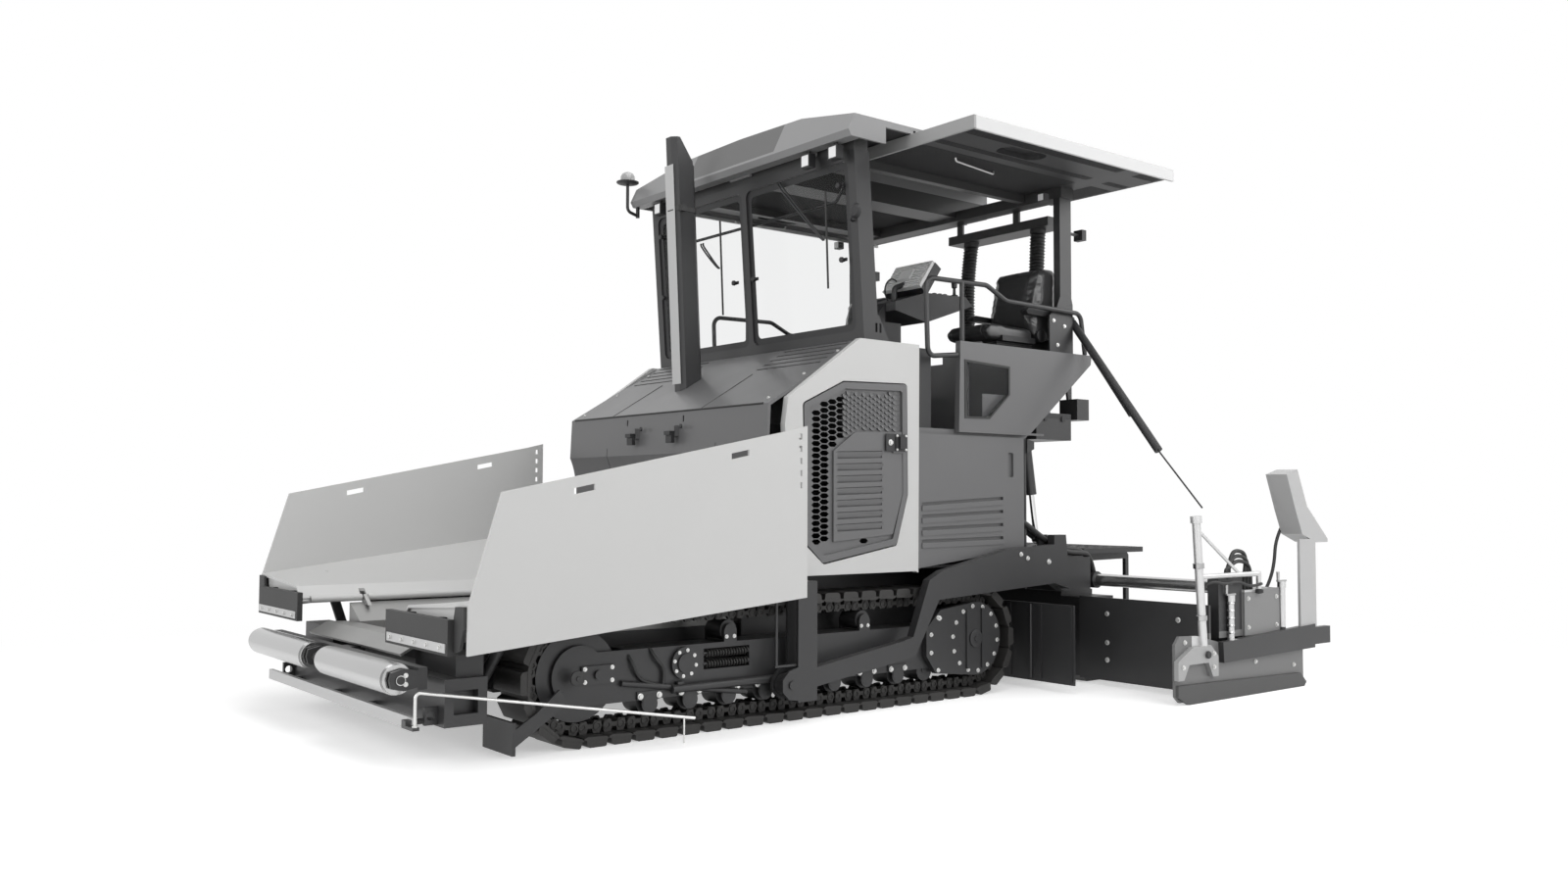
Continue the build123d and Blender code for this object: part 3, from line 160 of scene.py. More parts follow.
lamp("overhead", (0.5, 2.0, 10.0), (0, 0, 1), 8.0, 480)
lamp("left_side", (0.5, 10.0, 5.0), (-0.3, 0, 1.3), 6.0, 400)
lamp("rear_left", (-8.0, 6.0, 6.0), (-1.5, 0, 1.2), 5.0, 220)
lamp("front", (10.0, 0.5, 3.6), (2.0, 0, 1.0), 5.0, 300)

# ---------------- finishes that several pieces share
# Sprayed paint on welded plate, cast and rolled steel, plated bars, rubber and moulded plastic. Each has
# its own cloudiness, fine relief, and dust or wear where the real surface gets it.
def box_mask():
    """A node group: one inside the box between two corners, none outside it."""
    group = bpy.data.node_groups.new("inside_box", "ShaderNodeTree")
    for socket in ("Place", "Low", "High"):
        group.interface.new_socket(socket, in_out="INPUT", socket_type="NodeSocketVector")
    group.interface.new_socket("Inside", in_out="OUTPUT", socket_type="NodeSocketFloat")
    inputs = group.nodes.new("NodeGroupInput").outputs
    total = None
    for first, second in (("Low", "Place"), ("Place", "High")):
        gap = add(group, "ShaderNodeVectorMath", {0: inputs[second], 1: inputs[first]}, operation="SUBTRACT")
        parts = add(group, "ShaderNodeSeparateXYZ", {0: gap.outputs[0]})
        for axis in range(3):
            within = add(group, "ShaderNodeMath", {0: parts.outputs[axis], 1: 0.0}, operation="GREATER_THAN")
            if total is None:
                total = within.outputs[0]
                continue
            both = add(group, "ShaderNodeMath", {0: total, 1: within.outputs[0]}, operation="MULTIPLY")
            total = both.outputs[0]
    add(group, "NodeGroupOutput", {0: total})
    return group


inside_box = box_mask()


def mixed(tree, share, a, b, data_type="FLOAT"):
    """A mix of two values, or of two colours with data_type RGBA."""
    return add(tree, "ShaderNodeMix", {"Factor": share, "A": a, "B": b}, data_type=data_type).outputs["Result"]


def finish(name, colour, roughness, metallic=0.0, coat=0.0, grain=60.0, mottle=0.06, relief=0.0, sheen=0.0,
           zones=(), dust=0.0):
    """A coated or bare surface: cloudy colour and gloss, fine relief, and a thin dust on what faces up.

    Each zone is a box with a colour, roughness and metallic of its own, for a piece of several finishes.
    """
    material = bpy.data.materials.new(name)
    material.use_nodes = True
    tree = material.node_tree
    shader = tree.nodes["Principled BSDF"].inputs
    for socket, value in (("Metallic", metallic), ("Coat Weight", coat), ("Coat Roughness", 0.12),
                          ("Sheen Weight", sheen)):
        shader[socket].default_value = value
    place = tree.nodes.new("ShaderNodeTexCoord").outputs["Object"]
    cloud = add(tree, "ShaderNodeTexNoise", {"Vector": place, "Scale": 2.3, "Detail": 6}).outputs["Fac"]
    shade = mixed(tree, cloud, [c * (1 - mottle) for c in colour] + [1],
                  [min(1, c * (1 + mottle)) for c in colour] + [1], "RGBA")
    gloss = {"Value": cloud, "To Min": max(0.03, roughness - 0.07), "To Max": roughness + 0.07}
    rough, metal = add(tree, "ShaderNodeMapRange", gloss).outputs["Result"], None
    for low, high, zone_colour, zone_rough, zone_metal in zones:
        mask = add(tree, "ShaderNodeGroup", node_tree=inside_box)
        mask.inputs["Low"].default_value = low
        mask.inputs["High"].default_value = high
        tree.links.new(place, mask.inputs["Place"])
        within = mask.outputs[0]
        shade = mixed(tree, within, shade, (zone_colour, zone_colour, zone_colour, 1), "RGBA")
        rough = mixed(tree, within, rough, zone_rough)
        metal = mixed(tree, within, metal or metallic, zone_metal)
    if dust:
        normal = tree.nodes.new("ShaderNodeNewGeometry").outputs["Normal"]
        parts = add(tree, "ShaderNodeSeparateXYZ", {0: normal})
        patch = add(tree, "ShaderNodeTexNoise", {"Vector": place, "Scale": 7.0, "Detail": 8}).outputs["Fac"]
        lies = add(tree, "ShaderNodeMapRange", {"Value": parts.outputs["Z"], "From Min": 0.3, "To Max": dust})
        amount = add(tree, "ShaderNodeMath", {0: lies.outputs["Result"], 1: patch}, operation="MULTIPLY")
        shade = mixed(tree, amount.outputs[0], shade, (0.30, 0.29, 0.28, 1), "RGBA")
    tree.links.new(shade, shader["Base Color"])
    tree.links.new(rough, shader["Roughness"])
    if metal:
        tree.links.new(metal, shader["Metallic"])
    if relief:
        fine = add(tree, "ShaderNodeTexNoise", {"Vector": place, "Scale": grain, "Detail": 4}).outputs["Fac"]
        bump = add(tree, "ShaderNodeBump", {"Strength": relief, "Distance": 0.002, "Height": fine})
        tree.links.new(bump.outputs["Normal"], shader["Normal"])
    return material


def dress(material, *names):
    """The finish goes on whole CAD pieces."""
    for name in names:
        mesh = nodes[name].data
        mesh.materials.clear()
        mesh.materials.append(material)


light_paint = finish("light_grey_paint", (0.50, 0.50, 0.495), 0.42, coat=0.15, relief=0.04, mottle=0.02)
dark_paint = finish("dark_grey_paint", (0.110, 0.110, 0.112), 0.42, coat=0.15, relief=0.04, mottle=0.04)
black_paint = finish("chassis_black_paint", (0.022, 0.022, 0.023), 0.45, coat=0.08, relief=0.10, mottle=0.12,
                     dust=0.10)
plastic = finish("black_plastic", (0.014, 0.014, 0.015), 0.5, relief=0.25, grain=400)
track_steel = finish("track_steel", (0.034, 0.033, 0.032), 0.5, metallic=0.35, relief=0.5, grain=90, mottle=0.35,
                     dust=0.12)
cast_iron = finish("cast_iron", (0.045, 0.045, 0.045), 0.6, metallic=0.3, relief=0.6, grain=140, mottle=0.15)
turned_steel = finish("turned_steel", (0.46, 0.46, 0.46), 0.22, metallic=1.0, mottle=0.03)
zinc = finish("zinc_plated", (0.66, 0.66, 0.65), 0.34, metallic=0.7, relief=0.08, mottle=0.1)
chrome = finish("chromed_rod", (0.75, 0.75, 0.75), 0.1, metallic=1.0)
rubber = finish("rubber", (0.014, 0.014, 0.014), 0.55, relief=0.3, grain=120)
white_lens = finish("lamp_lens", (0.88, 0.88, 0.88), 0.15, coat=0.5, mottle=0.02)

# the slot that goes with each finish
slot_of = {finish_used.name: slot for finish_used, slot in (
    (black_paint, "chassis_black"), (plastic, "matte_black"), (track_steel, "track_steel"),
    (turned_steel, "bright_steel"), (zinc, "bright_steel"), (rubber, "rubber_black"), (white_lens, "body_grey"))}
# ---------------- tracks
# Two chains of forged links with pins and bushings, each link carrying a rolled shoe with a bolted
# pad. They lie on the ground, rise round the idler in front and come back over the carrier rollers.
def span(work, rings, around=False):
    """Quads from each ring of points to the next, and back to the first where the rings go around."""
    for near, far in zip(rings, rings[1:] + rings[:1] if around else rings[1:]):
        for n in range(len(near)):
            m = (n + 1) % len(near)
            work.faces.new((near[n], near[m], far[m], far[n]))


def prism(work, outline, low, high, axes="xzy"):
    """An outline in the first two axes, carried from low to high along the third."""
    rings = []
    for far in (low, high):
        spots = [dict(zip(axes, (a, b, far))) for a, b in outline]
        rings.append([work.verts.new((spot["x"], spot["y"], spot["z"])) for spot in spots])
    for ring in rings:
        work.faces.new(ring)
    span(work, rings)


def block(work, low, high):
    """A rectangular block between two corners."""
    prism(work, [(low[0], low[1]), (high[0], low[1]), (high[0], high[1]), (low[0], high[1])], low[2], high[2],
          "xyz")


def circle(radius, count, start=0.0):
    """Places round a circle, in two axes."""
    angles = [2 * math.pi * n / count + start for n in range(count)]
    return [(radius * math.cos(angle), radius * math.sin(angle)) for angle in angles]


def turned(work, place, axis, profile, count=20):
    """A turned form: its profile is pairs of distance along the axis and radius."""
    turn = Vector(axis).normalized().to_track_quat("Z", "Y").to_matrix()
    rings = []
    for along, radius in profile:
        rings.append([work.verts.new(Vector(place) + turn @ Vector((a, b, along))) for a, b in circle(radius, count)])
    span(work, rings)
    work.faces.new(rings[0])
    work.faces.new(rings[-1])


def smoothed(mesh, angle=35):
    """Smooth shading up to an angle."""
    mesh.shade_smooth()
    mesh.set_sharp_from_angle(angle=math.radians(angle))
    return mesh


def mesh_from(work, name, material=None, edge=0.0):
    """A mesh with outward faces and softened edges."""
    if edge:
        sharp = [e for e in work.edges if len(e.link_faces) == 2 and e.calc_face_angle() > 0.5]
        bmesh.ops.bevel(work, geom=sharp, offset=edge, segments=1, affect="EDGES", clamp_overlap=True)
    bmesh.ops.recalc_face_normals(work, faces=work.faces)
    mesh = bpy.data.meshes.new(name)
    work.to_mesh(mesh)
    work.free()
    if material:
        mesh.materials.append(material)
    return smoothed(mesh)


def keep(name, mesh, body="machine", slot=None):
    """The finished piece: at the origin, and on its body unless it bends between two."""
    piece = placed(name, mesh)
    if body:
        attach(piece, body)
    slot = slot or slot_of[next(material.name for material in mesh.materials if material)]
    return piece


def solid(name, work, material, body="machine", slot=None, edge=0.0):
    """The same for a form that is still being worked."""
    return keep(name, mesh_from(work, name, material, edge), body, slot)


def as_mesh(thing, name):
    """What an object's modifiers make of it, as a plain mesh; the object goes."""
    depsgraph = bpy.context.evaluated_depsgraph_get()
    mesh = bpy.data.meshes.new_from_object(thing.evaluated_get(depsgraph))
    mesh.name = name
    bpy.data.objects.remove(thing)
    return mesh


def scatter_tree(name):
    """Nodes that put one form on every point, turned by its axes, and end as a plain mesh."""
    tree = bpy.data.node_groups.new(name, "GeometryNodeTree")
    for socket, kind in (("Points", "Geometry"), ("Form", "Object"), ("Finish", "Material"), ("Size", "Float")):
        tree.interface.new_socket(socket, in_out="INPUT", socket_type="NodeSocket" + kind)
    tree.interface.new_socket("Result", in_out="OUTPUT", socket_type="NodeSocketGeometry")
    inputs = tree.nodes.new("NodeGroupInput").outputs
    named = {}
    for attribute, kind in (("facing", "FLOAT_VECTOR"), ("along", "FLOAT_VECTOR"), ("scale", "FLOAT")):
        named[attribute] = add(tree, "GeometryNodeInputNamedAttribute", {"Name": attribute},
                               data_type=kind).outputs["Attribute"]
    axes = add(tree, "FunctionNodeAxesToRotation", {"Primary Axis": named["facing"], "Secondary Axis": named["along"]},
               primary_axis="Z", secondary_axis="X")
    size = add(tree, "ShaderNodeMath", {0: named["scale"], 1: inputs["Size"]}, operation="MULTIPLY")
    form = add(tree, "GeometryNodeObjectInfo", {"Object": inputs["Form"]})
    spread = add(tree, "GeometryNodeInstanceOnPoints", {
        "Points": inputs["Points"], "Instance": form.outputs["Geometry"], "Rotation": axes.outputs["Rotation"],
        "Scale": size.outputs[0]})
    realize = add(tree, "GeometryNodeRealizeInstances", {"Geometry": spread.outputs["Instances"]})
    paint = add(tree, "GeometryNodeSetMaterial", {"Geometry": realize.outputs["Geometry"],
                                                  "Material": inputs["Finish"]})
    add(tree, "NodeGroupOutput", {"Result": paint.outputs["Geometry"]})
    return tree


scatter = scatter_tree("one_form_on_every_point")


def repeated(name, form, spots, material, size=1.0):
    """One form at each spot (place, facing, along, scale), as a single plain mesh."""
    seed = bpy.data.meshes.new(name + "_spots")
    seed.from_pydata([spot[0] for spot in spots], [], [])
    for column, (attribute, kind, field) in enumerate((
            ("facing", "FLOAT_VECTOR", "vector"), ("along", "FLOAT_VECTOR", "vector"), ("scale", "FLOAT", "value"))):
        layer = seed.attributes.new(attribute, kind, "POINT")
        for spot, entry in zip(spots, layer.data):
            setattr(entry, field, (*spot, 1.0)[1 + column])
    thing = placed(name + "_spots", seed)
    single = bpy.data.objects.new(name + "_form", form)
    modifier = thing.modifiers.new("repeat", "NODES")
    modifier.node_group = scatter
    sockets = {item.name: item.identifier for item in scatter.interface.items_tree if item.in_out == "INPUT"}
    for socket, value in (("Form", single), ("Finish", material), ("Size", size)):
        modifier[sockets[socket]] = value
    mesh = as_mesh(thing, name)
    bpy.data.objects.remove(single)
    return smoothed(mesh)


track_centres = 3.060
sprocket_x = -0.762
wheel_height = 0.378
pad_height = 0.040
loop_radius = wheel_height - pad_height
track_middle = 1.060
shoe_count = 54
lap = 2 * track_centres + 2 * math.pi * loop_radius
shoe_pitch = lap / shoe_count


def on_loop(distance):
    """Place and direction of travel on the loop between shoe and pad, in x and z."""
    half_lap, rest = divmod(distance, lap / 2)
    x, z, turn = rest - track_centres / 2, -loop_radius, 0.0
    if rest > track_centres:
        turn = (rest - track_centres) / loop_radius
        x, z = track_centres / 2 + loop_radius * math.sin(turn), -loop_radius * math.cos(turn)
    if half_lap:
        x, z, turn = -x, -z, turn + math.pi
    return (sprocket_x + track_centres / 2 + x, wheel_height + z), turn


# one shoe lying flat: pad outwards (+Z), link and pins inwards
shoe = bmesh.new()
half_shoe, half_pad, pad_reach, plate_reach = shoe_pitch / 2, 0.0633, 0.158, 0.160
link_inside, link_outside, pin_reach, pin_height = 0.052, 0.0745, 0.046, -0.058
link = [(-0.076, -0.056), (-0.070, -0.084), (-0.030, -0.088), (-0.018, -0.070), (0.012, -0.070), (0.022, -0.088),
        (0.060, -0.084), (0.074, -0.056), (0.062, -0.020), (0.020, -0.020), (0.012, -0.046), (-0.014, -0.046),
        (-0.022, -0.020), (-0.062, -0.020)]
pin_head = [(0.0, 0.024), (0.028, 0.024), (0.0285, 0.015), (0.024, 0.014)]
prism(shoe, [(-half_pad, 0.001), (-half_pad + 0.004, 0.034), (-half_pad + 0.014, pad_height),
             (half_pad - 0.020, pad_height), (half_pad - 0.004, 0.030), (half_pad, 0.001)],
      -pad_reach, pad_reach)
prism(shoe, [(-half_shoe + 0.004, -0.003), (-half_shoe + 0.016, -0.014), (half_shoe - 0.018, -0.020),
             (half_shoe + 0.004, -0.012), (half_shoe + 0.004, -0.003), (half_shoe - 0.014, 0.001),
             (-half_shoe + 0.012, 0.001)], -plate_reach, plate_reach)
for side in (-1, 1):
    prism(shoe, link, side * link_inside, side * link_outside)
    for x in (-pin_reach, pin_reach):
        turned(shoe, (x, side * link_inside, pin_height), (0, side, 0), pin_head, 12)
turned(shoe, (-pin_reach, -link_inside, pin_height), (0, 1, 0), [(0.0, 0.022), (2 * link_inside, 0.022)], 12)
shoe_form = mesh_from(shoe, "shoe", edge=0.0016)
arc_seat = 0.0026  # how much further in the shoes sit on the arcs
spots = []
for side in (-1, 1):
    for n in range(shoe_count):
        (x, z), turn = on_loop((n + 0.5) * shoe_pitch)
        seat = arc_seat if turn % math.pi else 0.0
        spots.append(((x - seat * math.sin(turn), side * track_middle, z + seat * math.cos(turn)),
                      (math.sin(turn), 0, -math.cos(turn)),
                      (math.cos(turn), 0, math.sin(turn))))
track_shoes = keep("track_shoes", repeated("track_shoes", shoe_form, spots, track_steel))
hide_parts("tracks")


# ---------------- undercarriage
# Welded track frames in black paint, cast sprockets, idlers and rollers, and the final drives' bolted covers.
sides = ((1, "left"), (-1, "right"))
frame_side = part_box("track_frames")[1][1] - 0.083
hex_head = bmesh.new()
hexagon = [(math.cos(math.pi * n / 3), math.sin(math.pi * n / 3)) for n in range(6)]
turned(hex_head, (0, 0, 0), (0, 0, 1), [(0.0, 1.38), (0.18, 1.38), (0.22, 1.28)], 16)
prism(hex_head, hexagon, 0.22, 0.88, "xyz")
hex_form = mesh_from(hex_head, "hexagon_bolt", edge=0.07)


def bolts(name, spots, body="machine", size=0.012):
    """Plated hexagon bolts with washers: place, the way they face, and the radius over corners if it differs."""
    rows = []
    for spot in spots:
        facing = Vector(spot[1]).normalized()
        along = Vector((0, 0, 1)) if abs(facing.z) < 0.8 else Vector((1, 0, 0))
        rows.append((spot[0], facing, along, spot[2] if len(spot) > 2 else size))
    return keep(name, repeated(name, hex_form, rows, zinc), body)


def both_sides(spots):
    """The same places on the machine's left and right, facing outwards."""
    rows = []
    for side in (1, -1):
        for spot in spots:
            (x, y, z), (a, b, c) = spot[0], spot[1]
            rows.append(((x, side * y, z), (a, side * b, c)) + tuple(spot[2:]))
    return rows


def on_side(side, route):
    """A route given for the machine's left, on its left or right."""
    return [(x, side * y, z) for x, y, z in route]


def pipe(name, route, radius, material, body="machine", order=3, steps=6):
    """A bent rod, tube or hose along a smooth route, with closed ends."""
    curve = bpy.data.curves.new(name + "_route", "CURVE")
    curve.dimensions = "3D"
    curve.bevel_depth = radius
    curve.bevel_resolution = 3
    curve.use_fill_caps = True
    spline = curve.splines.new("NURBS")
    spline.points.add(len(route) - 1)
    for point, place in zip(spline.points, route):
        point.co = (*place, 1)
    spline.order_u = order
    spline.resolution_u = steps
    spline.use_endpoint_u = True
    thing = placed(name + "_route", curve)
    mesh = bpy.data.meshes.new_from_object(thing)
    bpy.data.objects.remove(thing)
    bpy.data.curves.remove(curve)
    mesh.name = name
    mesh.materials.clear()
    mesh.materials.append(material)
    return keep(name, smoothed(mesh, 45), body)


def bent(route, radius, segments=5):
    """A route of straight runs whose corners are rounded to a radius, for stiff tubes."""
    curved = [Vector(route[0])]
    for before, corner, after in zip(route, route[1:], route[2:]):
        before, corner, after = Vector(before), Vector(corner), Vector(after)
        back, on = (before - corner).normalized(), (after - corner).normalized()
        half = back.angle(on) / 2
        reach = min(radius / math.tan(half), (before - corner).length * 0.49, (after - corner).length * 0.49)
        start, end = corner + back * reach, corner + on * reach
        for n in range(segments + 1):
            t = n / segments
            curved.append((1 - t) ** 2 * start + 2 * t * (1 - t) * corner + t * t * end)
    curved.append(Vector(route[-1]))
    return [tuple(p) for p in curved]


outwards = (0, 1, 0)
roller_places = [-0.336 + 0.2735 * n for n in range(1, 9)]
spots = [((x + dx, frame_side + 0.010, 0.236), outwards, 0.013) for x in roller_places for dx in (-0.062, 0.062)]
spots += [((x + dx, frame_side, 0.530), outwards, 0.009) for x in (0.223, 1.288) for dx in (-0.028, 0.028)]
spots += [((1.620 + a, frame_side + 0.021, 0.400 + b), outwards, 0.008) for a, b in circle(0.074, 8, 0.2)]
spots += [((x, frame_side + 0.015, z), outwards, 0.009) for x in (2.10, 2.27) for z in (0.345, 0.415)]
bolts("track_frame_bolts", both_sides(spots))

cover_x, cover_z, cover_radius, cover_face = -0.762, 0.390, 0.249, 1.204
spots = [((cover_x + a, cover_face, cover_z + b), outwards, 0.011) for a, b in circle(0.222, 14, 0.11)]
spots += [((x, cover_face, z), outwards, 0.011)
          for x, z in ((-0.40, 0.20), (-0.335, 0.32), (-0.335, 0.44), (-0.40, 0.55))]
bolts("final_drive_bolts", both_sides(spots))

# roller housings: a half-round cap with two ears on each roller's axle end
caps = bmesh.new()
ear = [(0.085, 0.262), (0.085, 0.220), (0.052, 0.212)]
arch = [math.radians(degrees) for degrees in range(160, 381, 20)]
for side in (1, -1):
    for x in roller_places:
        outline = [(x - a, z) for a, z in ear]
        outline += [(x + 0.052 * math.cos(angle), 0.190 + 0.052 * math.sin(angle)) for angle in arch]
        outline += [(x + a, z) for a, z in reversed(ear)]
        prism(caps, outline, side * (frame_side + 0.0005), side * (frame_side + 0.0105))
solid("roller_caps", caps, black_paint, edge=0.002)

# ridges and rim of the final drive's cover
ridges = bmesh.new()
for side in (1, -1):
    face = side * (cover_face + 0.001)
    for dx in (-0.065, 0.085):
        high = math.sqrt(cover_radius ** 2 - dx ** 2) - 0.035
        x = cover_x + dx
        prism(ridges, [(x - 0.010, cover_z - high), (x + 0.010, cover_z - high), (x + 0.010, cover_z + high),
                       (x - 0.010, cover_z + high)], face, face + side * 0.011)
    turned(ridges, (cover_x, face, cover_z), (0, side, 0),
           [(0.0, 0.060), (0.010, 0.060), (0.012, 0.050), (0.012, 0.022), (0.018, 0.020), (0.018, 0.002)], 24)
solid("final_drive_ridges", ridges, black_paint, edge=0.002)

# coil springs on the two rods in the beam's window, and grease and brake hoses with crimped ends along it
coil_radius, coil_start, coil_length, coil_steps = 0.021, 1.165, 0.30, 150
for side, word in sides:
    for level, z in (("low", 0.380), ("high", 0.440)):
        points = []
        for n in range(coil_steps + 1):
            angle = 2 * math.pi * n / 10
            points.append((coil_start + coil_length * n / coil_steps,
                           side * (frame_side - 0.010) + coil_radius * math.cos(angle),
                           z + coil_radius * math.sin(angle)))
        pipe(f"track_spring_{level}_{word}", points, 0.0055, track_steel, steps=2)
end, y = frame_side - 0.004, frame_side + 0.018
track_hoses = (("front", [(1.990, end, 0.470), (1.975, y + 0.012, 0.420), (1.940, y, 0.350), (1.880, y, 0.310),
                          (1.790, y, 0.290)]),
               ("rear", [(1.850, end, 0.500), (1.830, y + 0.015, 0.440), (1.770, y, 0.390), (1.765, y, 0.330),
                         (1.775, y, 0.275)]))
for side, word in sides:
    for place, route in track_hoses:
        pipe(f"track_hose_{place}_{word}", on_side(side, route), 0.010, rubber)

# ---------------- engine doors
# Pressed doors with a honeycomb and a louvred cover, a panel of pressed scales over the cooler, a
# rolled rim, and a black paddle latch with four screws.
skin, latch_face = 1.229, 1.257
scale_panel = [(0.470, 1.700), (0.490, 2.005), (0.455, 2.024), (-0.022, 2.040), (-0.026, 1.792), (0.384, 1.776)]


def in_outline(a, b, outline):
    """True for a place inside an outline."""
    inside = False
    for (a1, b1), (a2, b2) in zip(outline, outline[1:] + outline[:1]):
        if (b1 > b) != (b2 > b) and a < (a2 - a1) * (b - b1) / (b2 - b1) + a1:
            inside = not inside
    return inside


scale = bmesh.new()
fan = [(0.0, 0.0)] + [(0.0325 * math.sin(a), -0.0300 * math.cos(a))
                      for a in (math.radians(d) for d in range(-90, 91, 30))]
lift = [0.0005] + [0.0095] * 7
tops = [scale.verts.new((x, z, high)) for (x, z), high in zip(fan, lift)]
feet = [scale.verts.new((x, z, 0.0)) for x, z in fan]
for n in range(1, 7):
    scale.faces.new((tops[0], tops[n], tops[n + 1]))
    scale.faces.new((tops[n], feet[n], feet[n + 1], tops[n + 1]))
    scale.faces.new((feet[0], feet[n + 1], feet[n]))
scale.faces.new((tops[0], feet[0], feet[1], tops[1]))
scale.faces.new((tops[0], tops[7], feet[7], feet[0]))
scale_form = mesh_from(scale, "pressed_scale")
sheet_grey = finish("pressed_sheet", (0.055, 0.055, 0.057), 0.4, coat=0.1, mottle=0.05)
for side, word in sides:
    spots = []
    for row in range(21):
        for column in range(9):
            x = -0.010 + 0.066 * (column + 0.5 * (row % 2))
            z = 1.722 + 0.0175 * row
            if in_outline(x - 0.020, z, scale_panel) and in_outline(x + 0.020, z - 0.016, scale_panel):
                spots.append(((x, side * (skin + 0.001), z), (0, side, 0), (-side, 0, 0)))
    body = f"engine_door_{word}"
    name = f"door_scales_{word}"
    keep(name, repeated(name, scale_form, spots, sheet_grey), body, "dark_grey")
    trim = bmesh.new()
    for low, high, depth in (((-0.055, 1.652), (0.045, 1.762), 0.010), ((-0.028, 1.668), (0.020, 1.746), 0.026),
                             ((0.052, 1.650), (0.128, 1.764), 0.005)):
        near, far = sorted((side * latch_face, side * (latch_face + depth)))
        block(trim, (low[0], near, low[1]), (high[0], far, high[1]))
    solid(f"door_latch_{word}", trim, plastic, body, edge=0.003)
    spots = [((x, side * (latch_face + 0.010), z), (0, side, 0), 0.0060)
             for x in (-0.045, 0.035) for z in (1.662, 1.752)]
    spots.append(((0.090, side * (latch_face + 0.005), 1.707), (0, side, 0), 0.014))
    bolts(f"door_latch_screws_{word}", spots, body)

# ---------------- windscreen trim
# A black printed border with rounded corners on each laminated pane, wiper arms with parallel links and
# rubber blades, the hinges' knobs, and a head bar inside.
screen_lean = 0.0735


def screen_point(y, z, out=0.0):
    """A place on the windscreen's face, or a distance in front of it."""
    x = 0.262 + screen_lean * (z - 2.407)
    normal = Vector((1, 0, -screen_lean)).normalized()
    return Vector((x, y, z)) + normal * out


def rounded(width, height, corner, segments=6):
    """A rectangle with round corners, about its middle."""
    points = []
    for a, b, start in ((1, 1, 0), (-1, 1, 90), (-1, -1, 180), (1, -1, 270)):
        for n in range(segments + 1):
            angle = math.radians(start + 90 * n / segments)
            points.append((a * (width / 2 - corner) + corner * math.cos(angle),
                           b * (height / 2 - corner) + corner * math.sin(angle)))
    return points


borders = bmesh.new()
pane_side, pane_middle = 0.575, (2.366 + 3.600) / 2 + 0.002
slant = math.sqrt(1 + screen_lean ** 2)
for side in (-1, 1):
    loops = []
    for inset, out in ((0.001, -0.012), (0.046, -0.0125), (0.046, -0.0137), (0.001, -0.0137)):
        outline = rounded(1.100 - 2 * inset, 1.105 - 2 * inset, 0.055 - inset * 0.4)
        loops.append([borders.verts.new(screen_point(side * pane_side + a, pane_middle + b / slant, out))
                      for a, b in outline])
    span(borders, loops, around=True)
solid("screen_borders", borders, plastic)

wipers = ((-0.540, 3.250, -0.330, 3.040, -0.310, 3.385, 2.695), (0.412, 3.520, 0.860, 3.060, 0.885, 3.380, 2.738))
for word, (foot_y, foot_z, tip_y, tip_z, blade_y, blade_high, blade_low) in zip(("right", "left"), wipers):
    for letter, dy in (("a", 0.0), ("b", 0.028)):
        pipe(f"wiper_arm_{word}_{letter}",
             [screen_point(foot_y + dy, foot_z, 0.008), screen_point(foot_y + dy, foot_z, 0.026),
              screen_point((foot_y + tip_y) / 2 + dy, (foot_z + tip_z) / 2, 0.034),
              screen_point(tip_y + dy * 0.4, tip_z, 0.024), screen_point(tip_y + dy * 0.4, tip_z, 0.014)],
             0.0065, plastic)
    pipe(f"wiper_blade_{word}", [screen_point(blade_y + 0.01, blade_high, 0.001),
                                 screen_point(blade_y, (blade_high + blade_low) / 2, 0.003),
                                 screen_point(blade_y - 0.015, blade_low, 0.001)], 0.0072, rubber)
knobs = bmesh.new()
for y, z in ((-1.065, 3.387), (-1.077, 2.914), (-0.147, 2.907), (0.088, 2.904), (1.045, 3.387), (1.040, 2.903)):
    spot = screen_point(y, z, -0.002)
    turned(knobs, spot, (1, 0, -screen_lean),
           [(0.0, 0.013), (0.012, 0.013), (0.016, 0.019), (0.030, 0.018), (0.033, 0.012)], 16)
    block(knobs, spot + Vector((0.0, -0.034, -0.011)), spot + Vector((0.008, 0.034, 0.011)))
solid("screen_hinge_knobs", knobs, plastic, edge=0.002)
head_bar = [(0.307, -1.10, 3.42), (0.286, -1.0, 3.30), (0.286, 0.95, 3.30), (0.307, 1.08, 3.42)]
pipe("screen_head_bar", bent(head_bar, 0.06), 0.011, plastic)

# ---------------- canopy
# A pressed roof in mid grey with a darker panel down its middle, and sliding wings with a pale hem and
# front, and a dark ribbed underside that skips the rails they run on.
roof_paint = finish("roof_paint", (0.215, 0.215, 0.217), 0.45, coat=0.1, relief=0.04, mottle=0.03, zones=[
    ((-3.0, -0.52, 3.855), (1.0, 0.52, 4.0), 0.085, 0.42, 0.0),
    ((0.38, -0.52, 3.70), (1.0, 0.52, 4.0), 0.085, 0.42, 0.0),
    ((-2.2, -1.28, 3.40), (0.36, 1.28, 3.78), 0.030, 0.55, 0.0)])
dress(roof_paint, "roof")
wing_paint = finish("canopy_wing_paint", (0.030, 0.030, 0.031), 0.55, relief=0.04, mottle=0.06, zones=[
    ((-3.0, -2.0, 3.7349), (1.0, 2.0, 3.80), 0.34, 0.45, 0.0),
    ((-3.0, 1.8495, 3.60), (1.0, 2.0, 3.80), 0.56, 0.42, 0.0),
    ((-3.0, -1.31, 3.60), (1.0, -1.2795, 3.80), 0.56, 0.42, 0.0),
    ((-0.0702, -2.0, 3.60), (1.0, 2.0, 3.80), 0.30, 0.45, 0.0)])
dress(wing_paint, "canopy_wing_left", "canopy_wing_right")
